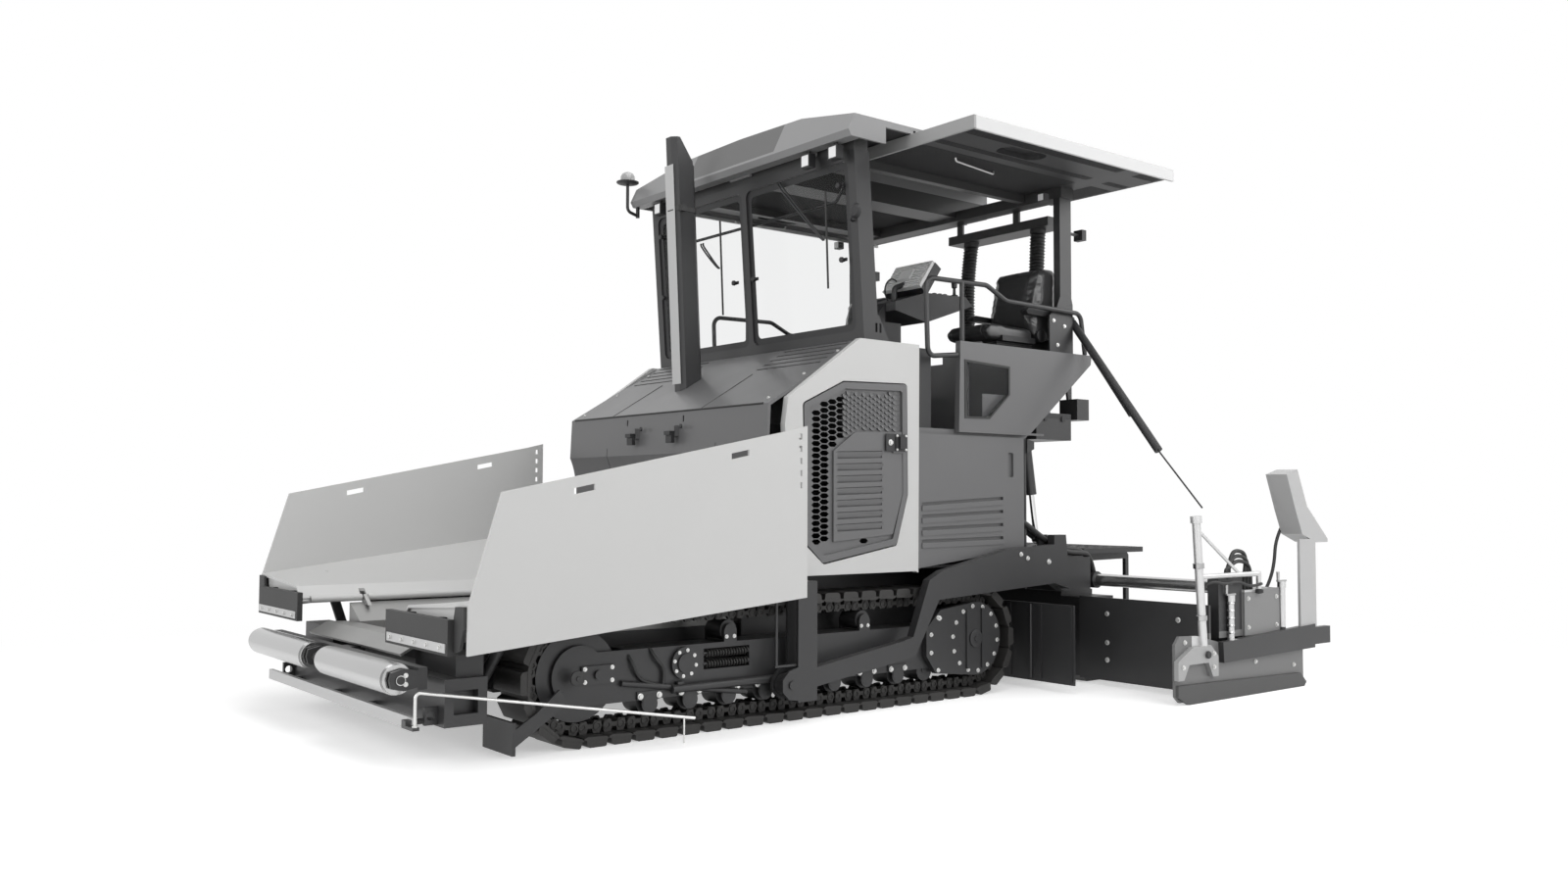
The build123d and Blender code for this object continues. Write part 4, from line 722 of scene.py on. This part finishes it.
lining_grey = finish("canopy_lining", (0.034, 0.034, 0.035), 0.6, relief=0.1, mottle=0.08)
wing_bottom, wing_travel, rib_count = 3.680, 0.570, 60
# in front of the roof's rear beam, and behind it
ribs = []
for place, middle, half in (("front", -0.910, 0.795), ("rear", -2.010, 0.120)):
    rib = bmesh.new()
    block(rib, (-half, -0.0022, -0.0030), (half, 0.0022, 0.0))
    ribs.append((place, middle, mesh_from(rib, "lining_rib")))
for side, word in sides:
    low, high = (0.765, 1.843) if side > 0 else (-1.273, -0.195)
    lines = []
    for n in range(rib_count):
        y = low + (high - low) * (n + 0.5) / rib_count
        drawn_in, drawn_out = (abs(y) - wing_travel, abs(y)) if side > 0 else (abs(y), abs(y) + wing_travel)
        on_rail = any(0.768 < place < 0.852 or place < 0.260 for place in (drawn_in, drawn_out))
        if not on_rail and not 1.505 < drawn_out < 1.695:
            lines.append(y)
    for place, middle, form in ribs:
        rows = [((middle, y, wing_bottom - 0.0004), (0, 0, 1), (1, 0, 0)) for y in lines]
        name = f"canopy_ribs_{place}_{word}"
        keep(name, repeated(name, form, rows, lining_grey), f"canopy_wing_{word}", "matte_black")

# ---------------- operator's seats
# Two sprung seats in woven cloth with smooth vinyl bolsters. The foam is blown up under its cover, so
# each cushion crowns between its seams; piping follows the seams and a dark pan carries it.
seat_cloth = finish("seat_cloth", (0.018, 0.018, 0.019), 0.7, relief=0.2, grain=900, sheen=0.03)
seat_vinyl = finish("seat_vinyl", (0.040, 0.040, 0.041), 0.32, coat=0.2, relief=0.2, grain=500)


def cushion(name, outline, low, high, swell):
    """A cushion from its side outline (x, z), blown up under pressure, with a smooth cover."""
    work = bmesh.new()
    prism(work, outline, low, high)
    bmesh.ops.recalc_face_normals(work, faces=work.faces)
    mesh = bpy.data.meshes.new(name)
    work.to_mesh(mesh)
    work.free()
    foam = placed(name + "_foam", mesh)
    voxels = foam.modifiers.new("voxels", "REMESH")
    voxels.mode = "VOXEL"
    voxels.voxel_size = 0.012
    start = as_mesh(foam, name)
    before = [vertex.co.copy() for vertex in start.vertices]
    thing = placed(name + "_cover", start)
    cover = thing.modifiers.new("cover", "CLOTH")
    cover.settings.quality = 5
    cover.settings.use_pressure = True
    cover.settings.uniform_pressure_force = 4
    cover.settings.effector_weights.gravity = 0
    for frame_number in range(1, 17):
        scene.frame_set(frame_number)
    blown = as_mesh(thing, name)
    scene.frame_set(1)
    for vertex, old in zip(blown.vertices, before):
        step = vertex.co - old
        if step.length > swell:
            vertex.co = old + step * (swell / step.length)
    thing = placed(name + "_soft", blown)
    relax = thing.modifiers.new("relax", "SMOOTH")
    relax.iterations = 4
    rounding = thing.modifiers.new("rounding", "SUBSURF")
    rounding.levels = rounding.render_levels = 1
    soft = as_mesh(thing, name)
    soft.materials.clear()
    soft.materials.append(seat_cloth)
    soft.materials.append(seat_vinyl)
    middle, half_cloth = abs(low + high) / 2, 0.150
    for face in soft.polygons:
        face.material_index = int(abs(abs(face.center.y) - middle) > half_cloth)
    soft.shade_smooth()
    return soft


seat_middle, half_seat = 0.860, 0.212
base_outline = [(-1.060, 2.515), (-1.030, 2.560), (-1.075, 2.598), (-1.200, 2.606), (-1.545, 2.592), (-1.560, 2.515)]
back_outline = [(-1.565, 2.545), (-1.518, 2.640), (-1.522, 2.760), (-1.560, 2.930), (-1.600, 3.040), (-1.650, 3.078),
                (-1.780, 3.082), (-1.812, 3.040), (-1.822, 2.800), (-1.815, 2.545)]
for part_name, outline in (("seat_base", base_outline), ("seat_back", back_outline)):
    for side, word in sides:
        low, high = sorted((side * (seat_middle - half_seat), side * (seat_middle + half_seat)))
        soft = cushion(f"{part_name}_{word}", outline, low, high, 0.016)
        pad = keep(f"{part_name}_{word}", soft, "machine", "seat_cloth")
        if part_name == "seat_base" and side > 0:
            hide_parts("seat_pads")
piping = ((-1.052, 2.530), (-1.018, 2.568), (-1.078, 2.612), (-1.280, 2.616), (-1.500, 2.604))
half_shell, half_slat, arm_offset, half_arm = 0.215, 0.172, 0.262, 0.030
armrest = [(-1.755, 2.690), (-1.755, 2.735), (-1.400, 2.742), (-1.372, 2.722), (-1.385, 2.700)]
for side, word in sides:
    y = side * seat_middle
    for letter, lane in (("a", y - 0.150), ("b", y + 0.150)):
        pipe(f"seat_piping_base_{word}_{letter}", [(x, lane, z) for x, z in piping], 0.0035, rubber)
    shell = bmesh.new()
    prism(shell, [(-1.200, 2.4955), (-1.560, 2.4955), (-1.560, 2.535), (-1.200, 2.535)], y - half_shell,
          y + half_shell)
    for z in (2.432, 2.446, 2.460, 2.474, 2.488):
        block(shell, (-1.575, y - half_slat, z - 0.004), (-1.185, y + half_slat, z + 0.004))
    for arm in (y - arm_offset, y + arm_offset):
        prism(shell, armrest, arm - half_arm, arm + half_arm)
        turned(shell, (-1.725, arm - 0.036, 2.715), (0, 1, 0), [(0.0, 0.032), (0.072, 0.032)], 18)
    turned(shell, (-1.610, y + 0.205, 2.560), (0, 1, 0), [(0.0, 0.050), (0.030, 0.050), (0.034, 0.042)], 22)
    turned(shell, (-1.610, y - 0.239, 2.560), (0, 1, 0), [(0.0, 0.042), (0.004, 0.050), (0.034, 0.050)], 22)
    solid(f"seat_shell_{word}", shell, plastic, edge=0.004)

# ---------------- control console
# A moulded tray carries joysticks and rows of keys. A display in a ribbed aluminium casing tilts on a bent
# tube above it, and the display's cable hangs down to the tray.
casing_paint = finish("casing_grey", (0.48, 0.48, 0.48), 0.35, coat=0.1, relief=0.05, mottle=0.03)
tilt = Matrix.Translation((-0.620, 0.740, 2.900)) @ Matrix.Rotation(math.radians(-35), 4, "Y")
casing = bmesh.new()
block(casing, (0.0352, -0.188, -0.118), (0.062, 0.188, 0.118))
for n in range(9):
    z = -0.096 + 0.024 * n
    block(casing, (0.0621, -0.172, z - 0.003), (0.069, 0.172, z + 0.003))
block(casing, (0.0621, -0.060, -0.050), (0.084, 0.060, 0.050))
bmesh.ops.transform(casing, matrix=tilt, verts=casing.verts)
solid("display_casing", casing, casing_paint, slot="body_grey", edge=0.004)
face = bmesh.new()
block(face, (-0.0372, -0.165, -0.098), (-0.0352, 0.165, 0.098))
bmesh.ops.transform(face, matrix=tilt, verts=face.verts)
screen_glass = finish("display_glass", (0.02, 0.021, 0.022), 0.08, coat=0.6)
solid("display_glass", face, screen_glass, slot="matte_black")
keys = bmesh.new()
for row in range(3):
    for column in range(8):
        x, y = -0.700 - 0.052 * row, 0.600 + 0.040 * column
        lift = 2.7945 + (x + 0.560) * -0.025
        block(keys, (x - 0.012, y - 0.011, lift), (x + 0.012, y + 0.011, lift + 0.012))
joystick = [(0.0, 0.030), (0.012, 0.026), (0.018, 0.012), (0.060, 0.010), (0.068, 0.020), (0.110, 0.022),
            (0.125, 0.014)]
for y in (0.570, 0.912):
    turned(keys, (-0.870, y, 2.795), (0, 0, 1), joystick, 16)
solid("console_keys", keys, plastic, edge=0.002)
pipe("display_arm", bent([(-0.440, 0.740, 2.745), (-0.440, 0.740, 2.835), (-0.560, 0.740, 2.880)], 0.04), 0.020,
     plastic)
pipe("display_cable", [(-0.540, 0.660, 2.905), (-0.500, 0.655, 2.930), (-0.440, 0.650, 2.880), (-0.430, 0.650, 2.800),
                       (-0.460, 0.655, 2.755)], 0.006, rubber)

# ---------------- air ducts
# Wire-wound rubber hoses between the platform and the air unit above it. They bow a little between the
# smooth collars that hold their ends.
duct_x, duct_low, duct_high, duct_steps, coils = -1.925, 2.422, 3.448, 126, 42
for name, y, bow in (("duct_inner", 0.100, 0.05), ("duct_outer", 0.800, 0.02)):
    work = bmesh.new()
    rings = []
    for n in range(duct_steps + 1):
        t = n / duct_steps
        centre = Vector((duct_x, y - bow * math.sin(math.pi * t), duct_low + (duct_high - duct_low) * t))
        radius = 0.056 + 0.0055 * math.cos(2 * math.pi * t * coils)
        if t < 0.035 or t > 0.965:
            radius = 0.0615
        rings.append([work.verts.new(centre + Vector((a, b, 0))) for a, b in circle(radius, 20)])
    work.faces.new(rings[0])
    span(work, rings)
    work.faces.new(rings[-1])
    duct = solid(name, work, rubber)
    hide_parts("air_ducts")

# ---------------- exhaust
# A black stack of welded sheet leans forward out of the hood. A cast band clamps it below its head, and a
# thin pale plate up its front is a painted highlight, standing in for the light on the stack's front face.
stack_low, stack_high, stack_y = (0.650, 2.060), (0.745, 3.900), -0.230


def stack_x(z):
    """Middle of the leaning stack at a height."""
    return stack_low[0] + (stack_high[0] - stack_low[0]) * (z - stack_low[1]) / (stack_high[1] - stack_low[1])


stack = bmesh.new()
band_z, a, b, cut = 3.375, 0.099, 0.069, 0.034
band = [(a, b - cut), (a - cut, b), (cut - a, b), (-a, b - cut), (-a, cut - b), (cut - a, -b), (a - cut, -b),
        (a, cut - b)]
prism(stack, [(stack_x(band_z) + x, stack_y + y) for x, y in band], band_z, band_z + 0.034, "xyz")
block(stack, (stack_x(band_z) + 0.030, stack_y + b - 0.001, band_z - 0.006),
      (stack_x(band_z) + 0.070, stack_y + b + 0.030, band_z + 0.040))
solid("exhaust_clamp", stack, cast_iron, slot="chassis_black", edge=0.002)
# Painted highlight: a thin plate in the casing's pale grey, where the stack's front face catches the light.
highlight_strip = bmesh.new()
corners = [highlight_strip.verts.new((stack_x(z) + out, y, z))
           for z in (2.150, 3.700) for out in (0.0953, 0.0985) for y in (-0.284, -0.180)]
for face in ((0, 1, 3, 2), (4, 5, 7, 6), (0, 1, 5, 4), (2, 3, 7, 6), (0, 2, 6, 4), (1, 3, 7, 5)):
    highlight_strip.faces.new([corners[n] for n in face])
solid("exhaust_shield", highlight_strip, casing_paint, slot="body_grey")

# ---------------- hood
# Black moulded pulls and catches on the painted nose, rubber beading in the seams of the sheet lids, and
# plated screws along their edges.
pulls = bmesh.new()
nose = 1.0855
for y in (-0.275, 0.213):
    block(pulls, (nose, y - 0.034, 1.708), (1.1120, y + 0.034, 1.786))
    block(pulls, (1.1120, y - 0.034, 1.760), (1.1260, y + 0.034, 1.786))
    turned(pulls, (nose, y + 0.110, 1.815), (1, 0, 0), [(0.0, 0.016), (0.008, 0.015), (0.011, 0.008)], 16)
hood_edge, hood_crown, seam_end = (1.045, 1.920), (0.295, 2.365), 0.620
steepness = (hood_crown[1] - hood_edge[1]) / (hood_edge[0] - hood_crown[0])
pipe("hood_edge_beading", [(hood_edge[0], -1.150, hood_edge[1]), (hood_edge[0], 1.150, hood_edge[1])], 0.0065,
     rubber, order=2)
for word, y in (("right", -0.620), ("left", 0.480)):
    pipe(f"hood_seam_{word}", [(hood_edge[0] - 0.010, y, hood_edge[1] + 0.005),
                               (seam_end, y, hood_edge[1] + (hood_edge[0] - seam_end) * steepness)], 0.0035,
         rubber, order=2)
screws = [((x, y, hood_edge[1] + (hood_edge[0] - x) * steepness), (steepness, 0, 1), 0.009)
          for x in (0.980, 0.700, 0.420) for y in (-1.120, 1.120)]
bolts("hood_screws", screws)
solid("hood_pulls", pulls, plastic, edge=0.003)

# ---------------- front beam and push rollers
# The welded beam's lower rail has a painted highlight, a pale band on its front where it faces the light.
# Dark cast caps close the push rollers' ends, and two bolts hold the keeper at each end of their shafts.
# Black beam paint; the pale zone on the lower rail's front is a painted highlight.
beam_paint_and_highlight = finish("front_beam_paint_and_highlight", (0.024, 0.024, 0.025), 0.45, coat=0.08, relief=0.10, mottle=0.12, dust=0.10,
                    zones=[((3.1985, -1.16, 0.185), (3.227, 1.16, 0.2515), 0.46, 0.40, 0.0)])
dress(beam_paint_and_highlight, "front_beam")
for side, word in sides:
    ends = bmesh.new()
    for y, way in ((0.075, -1), (1.1605, 1)):
        turned(ends, (3.290, side * y, 0.440), (0, side * way, 0), [(0.0, 0.020), (0.004, 0.020), (0.006, 0.014)], 18)
    solid(f"push_roller_caps_{word}", ends, cast_iron, f"push_roller_{word}", "roller_steel")
keeper = [((3.262, y, z), (0, way, 0)) for y, way in ((1.151, 1), (0.074, -1)) for z in (0.462, 0.418)]
bolts("push_beam_bolts", both_sides(keeper), "push_beam", 0.009)

# ---------------- hopper
# Painted plate wings, a steel floor worn bright where mix slides, and rubber flaps across the front, each
# clamped by a steel strip with five bolts.
floor_steel = finish("hopper_floor_steel", (0.30, 0.30, 0.295), 0.34, metallic=0.55, relief=0.2, grain=30,
                     mottle=0.18, dust=0.08)
dress(floor_steel, "hopper_floor")
flap_rubber = finish("flap_rubber", (0.020, 0.020, 0.020), 0.6, relief=0.3, grain=80, zones=[
    ((3.1982, -1.48, 0.590), (3.21, 1.48, 0.645), 0.50, 0.36, 0.5)])
dress(flap_rubber, "wing_flap_left", "wing_flap_right")
for side, word in sides:
    spots = [((3.203, side * (0.790 + 0.155 * n), 0.618), (1, 0, 0)) for n in range(5)]
    bolts(f"flap_bolts_{word}", spots, f"wing_{word}", 0.010)

# ---------------- lamps, beacon and mirror
# Black cast work lamps with a frosted face, a beacon under a pale dome on a bent stalk, and a round
# mirror on the left post.
lenses, rims = bmesh.new(), bmesh.new()
lamp_front, lamp_back = 0.4551, 0.4049
rim_bars = (((-0.045, 3.530), (-0.037, 3.620)), ((0.037, 3.530), (0.045, 3.620)),
            ((-0.037, 3.530), (0.037, 3.5385)), ((-0.037, 3.6115), (0.037, 3.620)))
for y in (-0.960, 0.830, 1.107):
    block(lenses, (lamp_front, y - 0.037, 3.5385), (0.4575, y + 0.037, 3.6115))
    for low, high in rim_bars:
        block(rims, (lamp_front, y + low[0], low[1]), (0.4605, y + high[0], high[1]))
    for n in range(5):
        block(rims, (0.398, y - 0.040, 3.541 + 0.016 * n), (lamp_back, y + 0.040, 3.547 + 0.016 * n))
for side in (1, -1):
    y = side * 1.150
    block(lenses, (-2.0225, y - 0.032, 3.318), (-2.0201, y + 0.032, 3.382))
    block(rims, (-1.5985, y - 0.030, 3.548), (-1.540, y + 0.030, 3.608))
    block(lenses, (-1.5398, y - 0.024, 3.554), (-1.5375, y + 0.024, 3.602))
solid("lamp_faces", lenses, white_lens, edge=0.0006)
solid("lamp_rims", rims, plastic, edge=0.001)
beacon_x, beacon_y = 0.535, -1.270
pipe("beacon_stalk", bent([(0.440, beacon_y, 3.575), (beacon_x, beacon_y, 3.600), (beacon_x, beacon_y, 3.815)],
                          0.05), 0.0125, plastic)
lens_grey = finish("beacon_dome", (0.30, 0.30, 0.30), 0.12, coat=0.6, mottle=0.02)
for name, z, profile, material, slot in (
        ("beacon_dome", 3.838, [(0.0, 0.058), (0.036, 0.056), (0.058, 0.044), (0.070, 0.022), (0.073, 0.004)],
         lens_grey, "body_grey"),
        ("beacon_dish", 3.806, [(0.0, 0.030), (0.012, 0.080), (0.018, 0.088), (0.026, 0.088), (0.032, 0.060)],
         plastic, "matte_black")):
    work = bmesh.new()
    turned(work, (beacon_x, beacon_y, z), (0, 0, 1), profile, 28)
    solid(name, work, material, slot=slot)
pipe("mirror_arm", bent([(0.300, 1.130, 3.140), (0.350, 1.165, 3.140), (0.362, 1.205, 3.180)], 0.02), 0.007, plastic)
head = bmesh.new()
turned(head, (0.352, 1.215, 3.190), (-1, 0, 0), [(-0.014, 0.034), (0.0, 0.050), (0.006, 0.052), (0.010, 0.048)], 24)
solid("mirror_head", head, plastic)

# ---------------- grip bars
# A plated grip bar under each canopy wing, and a black grab hoop of bent tube at each side of the
# platform's entry.
grip = [(-0.991, 1.184, 3.674), (-0.985, 1.186, 3.652), (-0.525, 1.262, 3.652), (-0.519, 1.263, 3.674)]
hoop = [(-0.703, 1.188, 1.860), (-0.705, 1.188, 2.415), (-0.850, 1.188, 2.432)]
for side, word in sides:
    pipe(f"canopy_grip_{word}", bent(on_side(side, grip), 0.015), 0.0065, zinc)
    pipe(f"platform_hoop_{word}", bent(on_side(side, hoop), 0.07), 0.015, black_paint)

# ---------------- platform sides
# The sheet pods have a window in a black rubber frame on each side, and three plated bolts hold the foot
# plate of each rear post.
window = [(-0.620, 1.895), (-0.620, 2.300), (-1.080, 2.280), (-1.080, 2.080), (-0.870, 1.900)]
pod_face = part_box("platform")[1][1]
centre = Vector((sum(p[0] for p in window) / 5, sum(p[1] for p in window) / 5))
for side, word in sides:
    seal = bmesh.new()
    loops = []
    for share, out in ((1.0, -0.004), (1.0, 0.004), (0.92, 0.004), (0.92, -0.004)):
        flat = [centre + (Vector(corner) - centre) * share for corner in window]
        loops.append([seal.verts.new((spot.x, side * (pod_face + out), spot.y)) for spot in flat])
    span(seal, loops, around=True)
    solid(f"pod_window_frame_{word}", seal, rubber, edge=0.002)
posts = [((x, 1.196, z), outwards, 0.011) for x, z in ((-1.623, 2.664), (-1.746, 2.631), (-1.666, 2.486))]
bolts("post_bolts", both_sides(posts))

# ---------------- rear of the platform
# Folded sheet boxes under the platform, with a lid's edge and moulded catches, and a second display with
# its glass towards the rear.
fittings_paint = finish("rear_box_paint", (0.028, 0.028, 0.029), 0.45, coat=0.08, relief=0.08, mottle=0.08)
dress(fittings_paint, "rear_fittings")
lids = bmesh.new()
block(lids, (-1.9555, 1.0802, 1.955), (-1.5645, 1.0842, 1.984))
for x in (-1.86, -1.66):
    block(lids, (x - 0.018, 1.0842, 1.930), (x + 0.018, 1.0902, 1.970))
block(lids, (-2.1545, 0.945, 1.965), (-2.1502, 1.085, 2.095))
solid("rear_box_catches", lids, plastic, edge=0.0015)

# ---------------- screed extensions
# Black mouldboard, grey end gate and cover, and bright parts: mast with its boom and brace, cast
# holder, height spindles, runner and the operator's stand with its keys.
bright, cast, pale, middle = (0.62, 0.34, 0.6), (0.36, 0.5, 0.4), (0.44, 0.4, 0.0), (0.20, 0.42, 0.0)
parts = (((-3.04, 2.2995, -0.01), (-1.44, 2.3215, 0.449), (0.150, 0.45, 0.0)),
         ((-2.730, 2.045, 0.4055), (-2.270, 2.3215, 0.725), middle),
         ((-3.050, 2.3215, -0.01), (-1.44, 2.350, 0.1305), (0.075, 0.5, 0.5)),
         ((-1.900, 2.3215, 0.160), (-1.430, 2.360, 0.378), cast),
         ((-1.800, 2.290, 0.374), (-1.640, 2.378, 1.245), bright),
         ((-2.475, 2.300, 0.705), (-1.735, 2.360, 0.850), bright),
         ((-2.215, 2.312, 0.835), (-1.690, 2.348, 1.165), bright),
         ((-2.138, 2.322, 0.386), (-2.062, 2.360, 0.696), bright),
         ((-2.793, 2.322, 0.440), (-2.717, 2.360, 0.766), bright),
         ((-3.190, 2.318, 0.417), (-2.960, 2.350, 1.040), pale),
         ((-3.365, 2.170, 1.0305), (-2.795, 2.350, 1.580), pale),
         ((-2.130, 1.180, 0.690), (-2.010, 2.260, 0.800), (0.60, 0.16, 0.9)))
mouldboard, spindle_y, gate_face, holder_face = -1.8425, 2.320, 2.3205, 2.3565
mast_ring = [(0.0, 0.034), (0.002, 0.037), (0.034, 0.037), (0.036, 0.034)]
crank = [(0.0, 0.010), (0.060, 0.012), (0.066, 0.006)]
thread = [(0.0, 0.0250), (0.008, 0.0285), (0.016, 0.0250)]
lever = [(0.0, 0.020), (0.020, 0.010), (0.060, 0.009), (0.070, 0.016), (0.086, 0.012)]
gate_bolts = ((-1.560, 0.405), (-2.400, 0.220), (-2.900, 0.160), (-2.320, 0.660), (-2.680, 0.660), (-2.320, 0.460),
              (-2.680, 0.460))
# the stand's cable down to the cover, and the sensor's cable along the boom
cables = (("stand_cable", 0.012, [(-3.060, 2.188, 1.215), (-2.960, 2.160, 1.080), (-2.900, 2.180, 0.860),
                                  (-2.850, 2.150, 0.700), (-2.760, 2.140, 0.640), (-2.725, 2.140, 0.620)]),
          ("boom_cable", 0.010, [(-2.440, 2.352, 0.760), (-2.300, 2.358, 0.740), (-2.150, 2.350, 0.790),
                                 (-2.000, 2.352, 0.770), (-1.850, 2.350, 0.800), (-1.790, 2.300, 0.760),
                                 (-1.800, 2.260, 0.640), (-1.990, 2.220, 0.600)]))
for side, word in sides:
    zones = []
    for low, high, look in parts:
        near, far = sorted((side * low[1], side * high[1]))
        zones.append(((low[0], near, low[2]), (high[0], far, high[2])) + look)
    body = f"screed_extension_{word}"
    paint = finish(f"extension_paint_{word}", (0.026, 0.026, 0.027), 0.45, coat=0.08, relief=0.10, mottle=0.12,
                   dust=0.08, zones=zones)
    dress(paint, body)
    # rings and cranks of the mast and spindles
    rings = bmesh.new()
    for z in (0.560, 0.905):
        lean = -1.760 + 0.070 * (z - 0.340) / 0.874
        turned(rings, (lean, side * 2.330, z - 0.018), (0.08, 0, 1), mast_ring, 22)
    y = side * spindle_y
    for x, head in ((-2.100, 0.692), (-2.755, 0.762)):
        block(rings, (x - 0.055, y - 0.009, head), (x + 0.055, y + 0.009, head + 0.012))
        turned(rings, (x + 0.046, y, head + 0.010), (0, 0, 1), crank, 14)
    for foot in (0.430, 0.480, 0.530, 0.580, 0.630):
        turned(rings, (-2.100, y, foot), (0, 0, 1), thread, 18)
    solid(f"spindle_fittings_{word}", rings, turned_steel, body, edge=0.0015)
    keys = bmesh.new()
    for row in range(4):
        x, z = -3.215 + 0.115 * row, 1.180 + 0.070 * row
        for column in range(3):
            key_y = side * (2.215 + 0.045 * column)
            turned(keys, (x - 0.011, key_y, z + 0.028), (-0.62, 0, 0.62), [(0.0, 0.013), (0.010, 0.011)], 12)
    turned(keys, (-3.190, side * 2.260, 1.160), (-0.6, 0, 0.7), lever, 14)
    solid(f"stand_keys_{word}", keys, plastic, body)
    knobs = bmesh.new()
    turned(knobs, (-1.765, side * 2.359, 0.315), (0, side, 0), [(0.0, 0.024), (0.006, 0.026), (0.014, 0.022)], 18)
    turned(knobs, (-2.440, side * 2.330, 0.690), (0, 0, 1),
           [(0.0, 0.014), (0.006, 0.032), (0.026, 0.032), (0.034, 0.018)], 20)
    solid(f"mast_knobs_{word}", knobs, plastic, body)
    spots = [((mouldboard, side * y, z), (1, 0, 0), 0.014) for y in (1.488, 2.080) for z in (0.190, 0.314, 0.520)]
    bolts(f"mouldboard_bolts_{word}", spots, body)
    spots = [((x, side * holder_face, z), (0, side, 0), 0.012)
             for x, z in ((-1.490, 0.250), (-1.840, 0.230), (-1.840, 0.320))]
    spots += [((x, side * gate_face, z), (0, side, 0), 0.012) for x, z in gate_bolts]
    bolts(f"gate_bolts_{word}", spots, body)
    for name, radius, route in cables:
        pipe(f"{name}_{word}", on_side(side, route), radius, rubber, body)
    # thick loops of hose between the cover and the guide
    for n in range(3):
        high, y, start, end = 0.900 + 0.035 * n, 2.292 - 0.008 * n, -2.400 + 0.03 * n, -2.090 - 0.03 * n
        route = [(start, y, 0.715), (start, y, 0.800), (-2.380, y, high), (-2.240, y - 0.006, high + 0.03),
                 (-2.120 - 0.03 * n, y - 0.004, high - 0.03), (end, y, 0.860), (end - 0.010, y, 0.800)]
        pipe(f"cover_hose_{word}_{n + 1}", on_side(side, route), 0.014, rubber, body)

# ---------------- main screed
# Black welded body; its walkway is an open grating that the operators stand on. Black sleeves cover the
# stays from the posts, and four hoses a side bend down from the hull as the screed lifts.
walk_paint = finish("walkway_paint", (0.026, 0.026, 0.027), 0.48, coat=0.05, relief=0.12, mottle=0.12, dust=0.1)
dress(walk_paint, "screed_walkway")
for side, word in sides:
    pipe(f"stay_sleeve_{word}", [(-1.8735, side * 1.168, 2.675), (-1.8535, side * 1.930, 1.688)], 0.0300, plastic,
         order=2)
for side, word in sides:
    for n in range(4):
        y, sag = 1.080 + 0.040 * n, 0.026 * (n % 2)
        route = [(-1.215, y, 1.200), (-1.300, y, 1.195 - sag), (-1.480, y + 0.02, 1.075 - sag),
                 (-1.680, y + 0.03, 0.985 - sag), (-1.880, y + 0.03, 0.975 - sag), (-1.990, y + 0.02, 0.935),
                 (-2.060, y, 0.800)]
        hose = pipe(f"screed_hose_{word}_{n + 1}", on_side(side, route), 0.020, rubber, None)
        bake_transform(hose)

# ---------------- undercarriage fittings
# Cast caps at the idlers' hubs, long black tubes of the track adjusters, and the plated bolts that clamp
# the plates of the welded tow arms.
slides = bmesh.new()
for side in (1, -1):
    turned(slides, (2.347, side * 1.226, 0.378), (0, side, 0),
           [(0.0, 0.042), (0.010, 0.042), (0.014, 0.032), (0.014, 0.014), (0.020, 0.012)], 24)
solid("idler_caps", slides, cast_iron, slot="track_steel", edge=0.001)
for side, word in sides:
    pipe(f"adjuster_tube_{word}", [(2.045, side * 1.174, 0.320), (1.182, side * 1.174, 0.200)], 0.017, black_paint,
         order=2)
arm_face = 1.316
for name, places in (("tow_arm_bolts", ((1.006, 0.200, 0.013), (0.932, 0.300, 0.013))),
                     ("arm_plate_bolts", ((-1.110, 0.960, 0.012), (-1.180, 0.930, 0.012), (-1.406, 0.900, 0.014),
                                          (-0.300, 0.560, 0.012)))):
    bolts(name, both_sides([((x, arm_face, z), outwards, size) for x, z, size in places]), "screed")

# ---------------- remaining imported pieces
# Plate, castings and turned parts that need nothing but their coat: wings and side frames in light grey,
# body and platform in dark grey, the chassis and its castings in black, and rods in bare metal.
dress(light_paint, "hopper_wing_left", "hopper_wing_right", "side_frames")
dress(dark_paint, "hood", "engine_door_left", "engine_door_right", "rear_panels", "platform", "hopper_rear_wall")
dress(black_paint, "hull_rails", "track_frames", "track_wheels", "final_drives", "chassis", "hull_sides", "deck",
      "rear_wall", "lift_ears", "auger_case", "mix_shields", "push_beam", "exhaust", "handrails",
      "screen_frame", "rear_posts", "tow_columns", "wing_barrel_left", "wing_barrel_right", "main_screed",
      "lift_barrels", "tow_arms")
dress(plastic, "console", "seat_frames", "lamps", "screed_stays")
dress(track_steel, "tracks", "conveyors")
dress(cast_iron, "engine", "auger_left", "auger_right")
dress(turned_steel, "push_roller_left", "push_roller_right")
dress(zinc, "guide_rod")
dress(chrome, "wing_rod_left", "wing_rod_right", "lift_rods")

# ---------------- glazing
# Clear laminated panes in the windscreen and the platform's pods, set in their rubber and their printed
# borders.
clear_glass = bpy.data.materials.new("clear_glass")
clear_glass.use_nodes = True
pane = clear_glass.node_tree.nodes["Principled BSDF"]
for socket, value in (("Base Color", (0.87, 0.875, 0.875, 1)), ("Roughness", 0.02), ("Transmission Weight", 1.0),
                      ("IOR", 1.1)):
    pane.inputs[socket].default_value = value
dress(clear_glass, "glazing")
